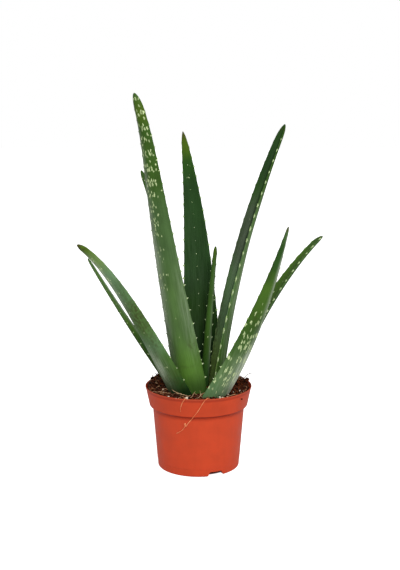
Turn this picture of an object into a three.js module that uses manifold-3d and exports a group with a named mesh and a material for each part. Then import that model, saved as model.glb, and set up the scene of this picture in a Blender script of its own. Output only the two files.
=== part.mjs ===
// Potted aloe: nine toothed leaves on a short stem, standing in soil in a 12 cm nursery pot.
// Millimetres, +Z up, origin on the pot's axis at the level that it stands on, viewer's side at -Y.
// Each leaf is a tapering body with a crescent section, carried along a bending midline.
// The outer leaves clasp the inner ones: each is hollowed where the earlier ones lie, with a small gap.
import * as THREE from 'three';
import { ParametricGeometry } from 'three/addons/geometries/ParametricGeometry.js';
import { mergeVertices } from 'three/addons/utils/BufferGeometryUtils.js';
import Module from 'manifold-3d';

const wasm = await Module();
wasm.setup();

// ---- Driving dimensions ------------------------------------------------------------------------

const GAP = 0.4;                  // clearance between neighbouring pieces

const POT_HEIGHT = 93;
const POT_RIM_R = 60;             // outside, at the lip
const POT_FOOT_R = 46.2;          // outside, at the foot
const POT_WALL = 1.2;
const LIP_HEIGHT = 1.7;
const LIP_OVERHANG = 0.4;
const COLLAR_BOTTOM = 71;         // height of the collar's lower edge
const COLLAR_TAPER = 4;           // how much narrower the collar is at its lower edge
const COLLAR_ROUND = 1.3;         // rounding of that edge
const SHOULDER_BOTTOM = 69.6;     // where the collar's underside, which is nearly level, meets the body
const BODY_TOP_R = 51.8;
const FLOOR = 1.5;                // thickness of the pot's floor
const RECESS_HEIGHT = 5.1;        // raised ring of the floor, under which water drains
const RECESS_INNER_R = 14;
const RECESS_OUTER_R = 38;
const RECESS_SLOPE = 2;           // run of the recess's sloping sides, seen from below
const FOOT_ROUND = 1.6;           // rounding of the foot's outer edge
const POT_SEGMENTS = 40;

const NOTCH_COUNT = 3;
const NOTCH_BEARING = -65;        // degrees; the first notch is right of the viewer's side
const NOTCH_WIDTH_FOOT = 19.5;
const NOTCH_WIDTH_TOP = 14;
const NOTCH_HEIGHT = 5.2;
const NOTCH_INNER_R = 33;
const DRAIN_COUNT = 6;
const DRAIN_BEARING = -35;
const DRAIN_R = 4;
const DRAIN_RING_R = 26;

const SOIL_LEVEL = 90;            // mean height of the soil's surface
const SOIL_TILT = 0.03;           // rise per millimetre towards the back
const SOIL_LUMP = 1.1;            // height of the swells on the surface
const SOIL_RINGS = 6;
const CRUMB_COUNT = 24;
const CRUMB_MIN_R = 1.5;
const CRUMB_MAX_R = 3.2;
const CRUMB_SHAPE = [1, 0.8, 0.75];    // a crumb's proportions
const CRUMB_RAISED = 0.15;             // share of its radius that its middle lies above the surface
const RIM_CRUMB = { x: 53, y: 14, size: 3.2 };   // the large crumb that stands by the right of the lip
const RANDOM_SEED = 7;

const STEM = { x: 3.5, y: 2, foot: 46, top: 90.2, radius: 12 };

const LEAF_RINGS = 17;
const LEAF_SIDES = 10;
const LEAF_SLOW = 1.35;           // above 1, the rings crowd towards the tip
const INNER_SHARE = 0.7;          // the inner face is flatter than the outer one
const OUTER_SHARE = 1.3;
const TIP_THICKNESS = 0.35;       // share of the base's thickness that is left near the tip
const THICKNESS_TAPER = 0.8;
const HOOK_POWER = 8;             // how late the hook of a leaf's last stretch sets in
const MIDLINE_STEPS = 120;
const NECK_SHARE = 0.12;          // share of the length over which a leaf narrows to its base
const BASE_SWELL = 0.6;           // how much thicker a leaf is where it clasps the stem
const FOLD_FADE = 0.35;           // how much the channel flattens towards the tip

const TOOTH_SPACING = 18;
const TOOTH_FIRST = 0.13;         // shares of the leaf's length
const TOOTH_LAST = 0.95;
const TOOTH_LENGTH = 2.2;
const TOOTH_SUNK = 1.3;
const TOOTH_R = 1.3;
const TOOTH_FORWARD = 0.7;        // how far a tooth points to the leaf's tip rather than straight out

// Leaves from the innermost outwards. x, y, z: middle of the base. head: bearing that the leaf leans
// to, in degrees from +X. lean0, lean1: lean from the vertical at base and tip, bend: how late the
// lean changes, hook: extra lean of the last stretch. face0, face1: bearing that the outer face looks
// to at base and tip. tip: share of the width that is kept at the tip. neck: narrowing at the base.
const LEAVES = [
  { name: 'leaf_young', color: '#35551f', x: 6.5, y: 3, z: 91,
    head: 40, lean0: 4.8, lean1: 7.2, bend: 1, hook: 0, face0: -95, face1: -95,
    length: 159, width: 10, tip: 0.41, taper: 1, neck: 0, thick: 6, fold: 0.12, round: 0.05 },
  { name: 'leaf_wide_back', color: '#2c4a20', x: 3.5, y: 23, z: 80,
    head: 108, lean0: 0.2, lean1: 31, bend: 1.3, hook: 0, face0: 88, face1: 80,
    length: 307, width: 50, tip: 0.03, taper: 0.75, neck: 0.3, thick: 10, fold: 0.14, round: 0.03 },
  { name: 'leaf_tall_behind', color: '#55733d', x: -19.5, y: 2, z: 80,
    head: 165, lean0: 1.8, lean1: 21, bend: 1.3, hook: 0, face0: 165, face1: 155,
    length: 259, width: 32, tip: 0.3, taper: 1, neck: 0.3, thick: 9, fold: 0.12, round: 0.05 },
  { name: 'leaf_right_long', color: '#41603a', x: 18.5, y: -3, z: 80,
    head: 12, lean0: 6, lean1: 22.8, bend: 1, hook: 0, face0: 6, face1: 31,
    length: 315, width: 37, tip: 0.17, taper: 0.6, neck: 0.25, thick: 12, fold: 0.17, round: 0.05 },
  { name: 'leaf_tall_front', color: '#52743c', x: -7.5, y: -16, z: 80,
    head: -160, lean0: 10.8, lean1: 4.6, bend: 2.4, hook: 15, face0: -112, face1: -122,
    length: 343, width: 40, tip: 0.22, taper: 0.8, neck: 0.1, thick: 12, fold: 0.12, round: 0.05 },
  { name: 'leaf_right_back', color: '#3c5825', x: 26.5, y: 17, z: 80,
    head: 28, lean0: 31.6, lean1: 53.8, bend: 2.3, hook: 0, face0: 28, face1: 7,
    length: 221, width: 30, tip: 0.5, taper: 0.8, neck: 0.3, thick: 8, fold: 0.16, round: 0.05 },
  { name: 'leaf_left_back', color: '#4b6535', x: -25.5, y: 12, z: 80,
    head: 175, lean0: 34.6, lean1: 30.6, bend: 1.3, hook: 0, face0: 172, face1: 148,
    length: 184, width: 17, tip: 0.2, taper: 1, neck: 0.2, thick: 7, fold: 0.12, round: 0.05 },
  { name: 'leaf_left_front', color: '#5d7a46', x: -18.5, y: -18, z: 80,
    head: -162, lean0: 26.6, lean1: 41, bend: 2.3, hook: 14, face0: -134, face1: -122,
    length: 215, width: 35, tip: 0.29, taper: 1.25, neck: 0, thick: 11, fold: 0.12, round: 0.05 },
  { name: 'leaf_right_front', color: '#4a6b35', x: 16.5, y: -26.5, z: 80,
    head: -18, lean0: 32.8, lean1: 14.7, bend: 0.75, hook: 0, face0: -44, face1: -79,
    length: 216, width: 40.5, tip: 0.06, taper: 1.1, neck: 0.05, thick: 11, fold: 0.12, round: 0.03 },
];

// ---- Solids ------------------------------------------------------------------------------------

// A closed geometry as a solid: shared corners are merged and triangles without area are dropped.
function solidOf(geometry) {
  const bare = geometry.clone();
  bare.deleteAttribute('normal');
  bare.deleteAttribute('uv');
  const merged = mergeVertices(bare, 1e-4);
  const index = Array.from(merged.index.array);
  const kept = [];
  for (let i = 0; i < index.length; i += 3) {
    const [a, b, c] = index.slice(i, i + 3);
    if (a !== b && b !== c && c !== a) {
      kept.push(a, b, c);
    }
  }
  const mesh = new wasm.Mesh({
    numProp: 3,
    vertProperties: Float32Array.from(merged.attributes.position.array),
    triVerts: Uint32Array.from(kept),
  });
  return new wasm.Manifold(mesh);
}

// The largest body of a solid: what a cut leaves loose is dropped.
function largestBody(solid) {
  const bodies = solid.decompose();
  return bodies.reduce((best, body) => (body.volume() > best.volume() ? body : best));
}

function meshOf(solid, name, color, roughness) {
  const data = solid.getMesh();
  const geometry = new THREE.BufferGeometry();
  geometry.setAttribute('position', new THREE.BufferAttribute(Float32Array.from(data.vertProperties), 3));
  geometry.setIndex(Array.from(data.triVerts));
  geometry.computeVertexNormals();
  const mesh = new THREE.Mesh(geometry, new THREE.MeshStandardMaterial({ color, roughness, metalness: 0 }));
  mesh.name = name;
  return mesh;
}

// Turns a profile of [radius, height] pairs about +Z. The profile starts and ends on the axis.
function turned(profile, segments) {
  const points = profile.map(([r, z]) => new THREE.Vector2(r, z));
  return new THREE.LatheGeometry(points, segments).rotateX(Math.PI / 2);
}

// Random numbers from a seed, the same on every run.
function randomFrom(seed) {
  let state = seed;
  return () => {
    state = (state * 16807) % 2147483647;
    return state / 2147483647;
  };
}

// ---- Pot ---------------------------------------------------------------------------------------

// The pot's inner face from the middle of the floor to the lip, moved inwards by an offset.
function innerProfile(offset) {
  const wall = POT_WALL + offset;
  const roof = RECESS_HEIGHT + FLOOR + offset;
  const slope = RECESS_SLOPE + 0.7;
  const collarR = POT_RIM_R - LIP_OVERHANG - COLLAR_TAPER;
  return [
    [0, FLOOR + offset],
    [RECESS_INNER_R - slope - offset, FLOOR + offset],
    [RECESS_INNER_R - offset, roof],
    [RECESS_OUTER_R + offset, roof],
    [RECESS_OUTER_R + slope + offset, FLOOR + offset],
    [POT_FOOT_R - 2 - wall, FLOOR + offset],
    [POT_FOOT_R - 0.3 - wall, FLOOR + 2 + offset],
    [BODY_TOP_R - wall, SHOULDER_BOTTOM + wall],
    [collarR - wall, COLLAR_BOTTOM + wall],
    [POT_RIM_R - LIP_OVERHANG - wall, POT_HEIGHT - LIP_HEIGHT],
  ];
}

function outerProfile() {
  const collarR = POT_RIM_R - LIP_OVERHANG - COLLAR_TAPER;
  return [
    [POT_RIM_R - POT_WALL, POT_HEIGHT],
    [POT_RIM_R - 0.2, POT_HEIGHT],
    [POT_RIM_R, POT_HEIGHT - LIP_HEIGHT + 0.3],
    [POT_RIM_R - LIP_OVERHANG, POT_HEIGHT - LIP_HEIGHT],
    [collarR, COLLAR_BOTTOM + COLLAR_ROUND],
    [collarR - 0.3 * COLLAR_ROUND, COLLAR_BOTTOM + 0.3 * COLLAR_ROUND],
    [collarR - COLLAR_ROUND, COLLAR_BOTTOM],
    [BODY_TOP_R, SHOULDER_BOTTOM],
    [POT_FOOT_R, FOOT_ROUND],
    [POT_FOOT_R - 0.3 * FOOT_ROUND, 0.3 * FOOT_ROUND],
    [POT_FOOT_R - FOOT_ROUND, 0],
    [RECESS_OUTER_R + RECESS_SLOPE, 0],
    [RECESS_OUTER_R, RECESS_HEIGHT],
    [RECESS_INNER_R, RECESS_HEIGHT],
    [RECESS_INNER_R - RECESS_SLOPE, 0],
    [0, 0],
  ];
}

// A trapezium block that runs outwards through the pot's foot, at a bearing in degrees.
function footBlock(bearing, grow, innerR, outerR, bottom) {
  const top = NOTCH_HEIGHT + grow;
  const shape = new THREE.Shape();
  shape.moveTo(-NOTCH_WIDTH_FOOT / 2 - grow, bottom);
  shape.lineTo(NOTCH_WIDTH_FOOT / 2 + grow, bottom);
  shape.lineTo(NOTCH_WIDTH_TOP / 2 + grow, top);
  shape.lineTo(-NOTCH_WIDTH_TOP / 2 - grow, top);
  const block = new THREE.ExtrudeGeometry(shape, { depth: outerR - innerR, bevelEnabled: false });
  block.rotateX(Math.PI / 2);
  block.translate(0, outerR, 0);
  block.rotateZ(THREE.MathUtils.degToRad(bearing - 90));
  return solidOf(block);
}

function notchBearings() {
  return Array.from({ length: NOTCH_COUNT }, (_, i) => NOTCH_BEARING + (i * 360) / NOTCH_COUNT);
}

function makePot() {
  let pot = solidOf(turned([...innerProfile(0), ...outerProfile()].reverse(), POT_SEGMENTS));
  for (const bearing of notchBearings()) {
    pot = pot.add(footBlock(bearing, FLOOR, NOTCH_INNER_R + 3, POT_FOOT_R - 1, 0.2));
  }
  for (const bearing of notchBearings()) {
    pot = pot.subtract(footBlock(bearing, 0, NOTCH_INNER_R, POT_FOOT_R + 4, -1));
  }
  for (let i = 0; i < DRAIN_COUNT; i++) {
    const turn = THREE.MathUtils.degToRad(DRAIN_BEARING + (i * 360) / DRAIN_COUNT);
    const hole = new THREE.CylinderGeometry(DRAIN_R, DRAIN_R, 4 * FLOOR, 12).rotateX(Math.PI / 2);
    hole.translate(DRAIN_RING_R * Math.cos(turn), DRAIN_RING_R * Math.sin(turn), RECESS_HEIGHT + FLOOR / 2);
    pot = pot.subtract(solidOf(hole));
  }
  return pot;
}

// ---- Soil --------------------------------------------------------------------------------------

// Height of the soil's surface: a slight rise to the back and swells of three wavelengths.
function soilHeight(x, y) {
  const swell = Math.sin(x / 7.1 + 1.3) * Math.cos(y / 6.3) + 0.6 * Math.sin((x + 1.7 * y) / 4.7)
    + 0.4 * Math.cos((1.9 * x - y) / 3.9 + 0.8);
  return SOIL_LEVEL + SOIL_TILT * y + SOIL_LUMP * swell * 0.5;
}

// One crumb: a small faceted lump, sunk to its middle in the soil.
function crumb(x, y, size, turn) {
  const lump = new THREE.IcosahedronGeometry(size, 0).scale(...CRUMB_SHAPE);
  lump.rotateZ(turn);
  lump.translate(x, y, soilHeight(x, y) + CRUMB_RAISED * size);
  return solidOf(lump);
}

function makeSoil() {
  const collarTop = POT_HEIGHT - LIP_HEIGHT;
  const belowTop = (collarTop - SOIL_LEVEL + 1) / (collarTop - COLLAR_BOTTOM - POT_WALL);
  const edgeR = POT_RIM_R - LIP_OVERHANG - POT_WALL - GAP - belowTop * COLLAR_TAPER;
  const profile = innerProfile(GAP).slice(0, -1);
  for (let ring = SOIL_RINGS; ring >= 0; ring--) {
    profile.push([(edgeR * ring) / SOIL_RINGS, SOIL_LEVEL]);
  }
  const body = turned(profile, POT_SEGMENTS);
  const places = body.attributes.position;
  for (let i = 0; i < places.count; i++) {
    if (places.getZ(i) > SOIL_LEVEL - 1) {
      places.setZ(i, soilHeight(places.getX(i), places.getY(i)));
    }
  }
  const random = randomFrom(RANDOM_SEED);
  const parts = [solidOf(body), crumb(RIM_CRUMB.x, RIM_CRUMB.y, RIM_CRUMB.size, 0.4)];
  for (let i = 0; i < CRUMB_COUNT; i++) {
    const bearing = 2 * Math.PI * random();
    const size = CRUMB_MIN_R + (CRUMB_MAX_R - CRUMB_MIN_R) * random() ** 2;
    const reach = (edgeR - size - 1) * Math.sqrt(0.35 + 0.65 * random());
    parts.push(crumb(reach * Math.cos(bearing), reach * Math.sin(bearing), size, 3 * random()));
  }
  let soil = wasm.Manifold.union(parts);
  for (const bearing of notchBearings()) {
    soil = soil.subtract(footBlock(bearing, FLOOR + GAP, NOTCH_INNER_R + 2, POT_FOOT_R, -1));
  }
  return soil;
}

// ---- Stem --------------------------------------------------------------------------------------

function makeStem(grow) {
  const { x, y, foot, top, radius } = STEM;
  const profile = [
    [0, foot - grow],
    [0.4 * radius, foot + 0.5 - grow],
    [0.7 * radius + grow, foot + 4],
    [0.92 * radius + grow, foot + 20],
    [radius + grow, top - 8],
    [0.95 * radius + grow, top - 3],
    [0.75 * radius + grow, top + grow],
    [0, top + grow],
  ];
  return solidOf(turned(profile, 20).translate(x, y, 0));
}

// ---- Leaves ------------------------------------------------------------------------------------

// Direction of a leaf's midline at a share s of its length.
function direction(leaf, s) {
  const hooked = leaf.hook * s ** HOOK_POWER;
  const degrees = leaf.lean0 + (leaf.lean1 - leaf.lean0) * s ** leaf.bend + hooked;
  const lean = THREE.MathUtils.degToRad(degrees);
  const head = THREE.MathUtils.degToRad(leaf.head);
  return new THREE.Vector3(Math.sin(lean) * Math.cos(head), Math.sin(lean) * Math.sin(head), Math.cos(lean));
}

// The midline as a row of points: short straight steps, each along the direction at its middle.
function midline(leaf) {
  const points = [new THREE.Vector3(leaf.x, leaf.y, leaf.z)];
  const step = leaf.length / MIDLINE_STEPS;
  for (let i = 0; i < MIDLINE_STEPS; i++) {
    points.push(points[i].clone().addScaledVector(direction(leaf, (i + 0.5) / MIDLINE_STEPS), step));
  }
  return points;
}

// Place, directions and sizes of the section at a share s of the leaf's length.
function section(leaf, points, s) {
  const at = s * (points.length - 1);
  const low = Math.min(Math.floor(at), points.length - 2);
  const place = points[low].clone().lerp(points[low + 1], at - low);
  const along = direction(leaf, s);
  const face = THREE.MathUtils.degToRad(leaf.face0 + (leaf.face1 - leaf.face0) * s);
  const across = new THREE.Vector3(-Math.sin(face), Math.cos(face), 0);
  across.addScaledVector(along, -across.dot(along)).normalize();
  const inward = new THREE.Vector3().crossVectors(along, across);
  const nearBase = Math.max(0, 1 - s / NECK_SHARE) ** 2;
  const neck = 1 - leaf.neck * nearBase;
  const width = leaf.width * (leaf.tip + (1 - leaf.tip) * (1 - s) ** leaf.taper) * neck;
  const swell = 1 + BASE_SWELL * nearBase;
  const thick = leaf.thick * (TIP_THICKNESS + (1 - TIP_THICKNESS) * (1 - s) ** THICKNESS_TAPER) * swell;
  const fold = leaf.fold * (1 - FOLD_FADE * s) * width * roundEnd(s, leaf.round);
  return {
    place, along, across, inward, fold,
    width: width * roundEnd(s, leaf.round),
    thick: thick * roundEnd(s, leaf.round * 0.7),
  };
}

// A quarter circle that closes the last share of the length: 1 before it, 0 at the tip.
function roundEnd(s, share) {
  const left = Math.min(1, (1 - s) / share);
  return Math.sqrt(Math.max(0, 1 - (1 - left) ** 2));
}

// A point of the section's outline. The outline is a lens, bent so that the margins turn inwards.
function outlinePoint(cut, angle, grow, target) {
  const side = Math.sin(angle) > 0 ? INNER_SHARE : OUTER_SHARE;
  const aside = (cut.width / 2 + grow) * Math.cos(angle);
  const inwards = (cut.thick / 2 + grow) * side * Math.sin(angle) + cut.fold * Math.cos(angle) ** 2;
  return target.copy(cut.place).addScaledVector(cut.across, aside).addScaledVector(cut.inward, inwards);
}

// The leaf's body. Row 0 of the grid is the middle of the base, and the last row is the tip.
function blade(leaf, points, grow) {
  const rows = LEAF_RINGS + 1;
  const put = (u, v, target) => {
    const row = Math.round(v * rows);
    const s = row === 0 ? 0 : 1 - (1 - (row - 1) / LEAF_RINGS) ** LEAF_SLOW;
    const cut = section(leaf, points, s);
    if (s === 0) {
      cut.place.addScaledVector(cut.along, -grow);
    }
    if (row === 0 || row === rows) {
      target.copy(cut.place).addScaledVector(cut.inward, row === 0 ? cut.fold / 2 : 0);
      target.addScaledVector(cut.along, row === 0 ? 0 : grow);
      return;
    }
    outlinePoint(cut, 2 * Math.PI * u, grow, target);
  };
  return solidOf(new ParametricGeometry(put, LEAF_SIDES, rows));
}

// One marginal tooth: a three-sided thorn sunk in the margin, leaning towards the leaf's tip.
function tooth(leaf, points, s, side, grow) {
  const cut = section(leaf, points, s);
  const out = cut.across.clone().multiplyScalar(side).addScaledVector(cut.along, TOOTH_FORWARD).normalize();
  const length = TOOTH_LENGTH * (1 - 0.4 * s);
  const height = length + TOOTH_SUNK + 2 * grow;
  const thorn = new THREE.ConeGeometry(TOOTH_R * (1 - 0.3 * s) + grow, height, 3);
  thorn.applyQuaternion(new THREE.Quaternion().setFromUnitVectors(new THREE.Vector3(0, 1, 0), out));
  const middle = outlinePoint(cut, side > 0 ? 0 : Math.PI, 0, new THREE.Vector3());
  middle.addScaledVector(out, height / 2 - TOOTH_SUNK - grow);
  thorn.translate(middle.x, middle.y, middle.z);
  return solidOf(thorn);
}

// A whole leaf, blade and teeth, larger all round by grow.
function makeLeaf(leaf, grow) {
  const points = midline(leaf);
  const parts = [blade(leaf, points, grow)];
  const step = TOOTH_SPACING / leaf.length;
  for (let s = TOOTH_FIRST; s < TOOTH_LAST; s += step) {
    parts.push(tooth(leaf, points, s, 1, grow));
    parts.push(tooth(leaf, points, s + step / 2, -1, grow));
  }
  return wasm.Manifold.union(parts);
}

// ---- Assembly ----------------------------------------------------------------------------------

const group = new THREE.Group();
group.add(meshOf(makePot(), 'pot', '#c1452a', 0.55));
group.add(meshOf(makeStem(0), 'stem', '#7d8a4a', 0.8));

let taken = makeStem(GAP);
for (const leaf of LEAVES) {
  const solid = largestBody(makeLeaf(leaf, 0).subtract(taken));
  group.add(meshOf(solid, leaf.name, leaf.color, 0.5));
  taken = taken.add(makeLeaf(leaf, GAP));
}

group.add(meshOf(largestBody(makeSoil().subtract(taken)), 'soil', '#2b180e', 0.95));

export default group;
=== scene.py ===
import math

import bpy
import numpy as np
from bpy.props import FloatProperty, FloatVectorProperty, IntProperty, PointerProperty, StringProperty
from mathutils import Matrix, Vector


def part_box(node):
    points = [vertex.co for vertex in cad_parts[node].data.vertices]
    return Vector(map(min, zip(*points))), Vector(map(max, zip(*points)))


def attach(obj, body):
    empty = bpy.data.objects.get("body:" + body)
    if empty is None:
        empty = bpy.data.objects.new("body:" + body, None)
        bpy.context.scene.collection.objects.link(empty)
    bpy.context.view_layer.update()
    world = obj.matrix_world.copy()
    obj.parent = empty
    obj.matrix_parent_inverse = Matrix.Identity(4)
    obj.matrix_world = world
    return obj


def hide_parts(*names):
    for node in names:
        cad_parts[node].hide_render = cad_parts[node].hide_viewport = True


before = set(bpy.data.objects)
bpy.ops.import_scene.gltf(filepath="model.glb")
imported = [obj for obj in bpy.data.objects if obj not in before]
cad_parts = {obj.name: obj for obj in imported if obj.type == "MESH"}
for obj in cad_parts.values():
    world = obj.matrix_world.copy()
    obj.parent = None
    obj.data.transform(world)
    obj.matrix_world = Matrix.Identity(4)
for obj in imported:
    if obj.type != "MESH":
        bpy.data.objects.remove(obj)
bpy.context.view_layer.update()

bl_info = {
    "name": "Potted aloe",
    "version": (1, 0, 0),
    "blender": (4, 5, 0),
    "location": "View3D > Sidebar > Potted aloe",
    "description": "Makes a potted aloe: toothed leaves, stem, potting mix and a round nursery pot",
    "category": "Add Mesh",
}

# ---- Sizes, in millimetres and degrees -----------------------------------------------------------

MM = 0.001
TURN = 2 * math.pi
BODY = "root"

POT_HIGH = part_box("pot")[1]
POT_HEIGHT = POT_HIGH.z / MM
POT_RIM_R = POT_HIGH.x / MM
POT_FOOT_R = 46.2
POT_WALL = 1.2
LIP_HEIGHT = 1.7
LIP_OVERHANG = 0.4
LIP_ROUND = 0.4
COLLAR_BOTTOM = 71.0
COLLAR_TAPER = 4.0
COLLAR_ROUND = 1.3
SHOULDER_BOTTOM = 69.6     # where the collar's underside, which is nearly level, meets the body
BODY_TOP_R = 51.8
FOOT_LINE = 8.6            # height of the faint moulding step above the foot
FOOT_LINE_DEEP = 0.18
FLOOR = 1.5
RECESS_HEIGHT = 5.1
RECESS_INNER_R = 14.0
RECESS_OUTER_R = 38.0
RECESS_SLOPE = 2.0
NOTCH_BEARINGS = (-65.0, 55.0, 175.0)
NOTCH_WIDTH_FOOT = 19.5
NOTCH_WIDTH_TOP = 14.0
NOTCH_HEIGHT = 5.2
DRAIN_COUNT = 6
DRAIN_BEARING = -35.0
DRAIN_R = 4.0
DRAIN_RING_R = 26.0
PEG_RISE = (0, 0, 9)       # of the pegs that cut the drain holes, so that they pass the floor

GAP = 0.4
SOIL_LEVEL = 90.0
SOIL_TILT = 0.03
SOIL_LUMP = 1.1
SOIL_REACH = 57.4          # furthest from the axis that anything on the soil lies
SOIL_HEAPS = [(-44, 34, 17, 2.4), (-52, 12, 10, 1.6), (50, 24, 12, 1.4)]   # x, y, reach, height
SOIL_BANK = 2.4            # how far the soil rises where it lies against the wall

STEM = dict(x=3.5, y=2.0, foot=46.0, top=90.2, radius=12.0)

LEAF_SLOW = 1.35
INNER_SHARE = 0.7
OUTER_SHARE = 1.3
TIP_THICKNESS = 0.35
THICKNESS_TAPER = 0.8
HOOK_POWER = 8
MIDLINE_STEPS = 120
NECK_SHARE = 0.12
BASE_SWELL = 0.6
FOLD_FADE = 0.35

# x, y, z: middle of a leaf's base. head: bearing it leans to. lean: from the vertical, at base and
# tip. bend: how late the lean changes. hook: extra lean of the last stretch. face: bearing that the
# outer face looks to, at base and tip. tip: share of the width kept at the tip.
LEAVES = {
    "leaf_young": dict(
        x=6.5, y=3, z=91, head=40, lean=(4.8, 7.2), bend=1, hook=0, face=(-95, -95),
        length=159, width=10, tip=0.41, taper=1, neck=0, thick=6, fold=0.12, round=0.05),
    "leaf_wide_back": dict(
        x=3.5, y=23, z=80, head=108, lean=(0.2, 31), bend=1.3, hook=0, face=(88, 80),
        length=307, width=50, tip=0.03, taper=0.75, neck=0.3, thick=10, fold=0.14, round=0.03),
    "leaf_tall_behind": dict(
        x=-19.5, y=2, z=80, head=165, lean=(1.8, 21), bend=1.3, hook=0, face=(165, 155),
        length=259, width=32, tip=0.3, taper=1, neck=0.3, thick=9, fold=0.12, round=0.05),
    "leaf_right_long": dict(
        x=18.5, y=-3, z=80, head=12, lean=(6, 22.8), bend=1, hook=0, face=(6, 31),
        length=315, width=37, tip=0.17, taper=0.6, neck=0.25, thick=12, fold=0.17, round=0.05),
    "leaf_tall_front": dict(
        x=-7.5, y=-16, z=80, head=-160, lean=(10.8, 4.6), bend=2.4, hook=15, face=(-112, -122),
        length=343, width=40, tip=0.22, taper=0.8, neck=0.1, thick=12, fold=0.12, round=0.05),
    "leaf_right_back": dict(
        x=26.5, y=17, z=80, head=28, lean=(31.6, 53.8), bend=2.3, hook=0, face=(28, 7),
        length=221, width=30, tip=0.5, taper=0.8, neck=0.3, thick=8, fold=0.16, round=0.05),
    "leaf_left_back": dict(
        x=-25.5, y=12, z=80, head=175, lean=(34.6, 30.6), bend=1.3, hook=0, face=(172, 148),
        length=184, width=17, tip=0.2, taper=1, neck=0.2, thick=7, fold=0.12, round=0.05),
    "leaf_left_front": dict(
        x=-18.5, y=-18, z=80, head=-162, lean=(26.6, 41), bend=2.3, hook=14, face=(-134, -122),
        length=215, width=35, tip=0.29, taper=1.25, neck=0, thick=11, fold=0.12, round=0.05),
    "leaf_right_front": dict(
        x=16.5, y=-26.5, z=80, head=-18, lean=(32.8, 14.7), bend=0.75, hook=0, face=(-44, -79),
        length=216, width=40.5, tip=0.06, taper=1.1, neck=0.05, thick=11, fold=0.12, round=0.03),
}

# Greens of the skin, from the painted shade of the heart to the pale tips.
GREENS = {
    "shade": "0f270b", "heart": "1c370e", "ivy": "294a1a", "moss": "36541c", "fern": "3c5c24",
    "pine": "24401d", "clover": "41611f", "reed": "435f33", "leek": "4a6834", "grass": "50762a",
    "sage": "54744a", "slate": "42523a", "frost": "62805a", "pea": "657f46", "celery": "74904a",
    "olive": "465f18", "straw": "5e7838", "bark": "46461c",
}
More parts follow.
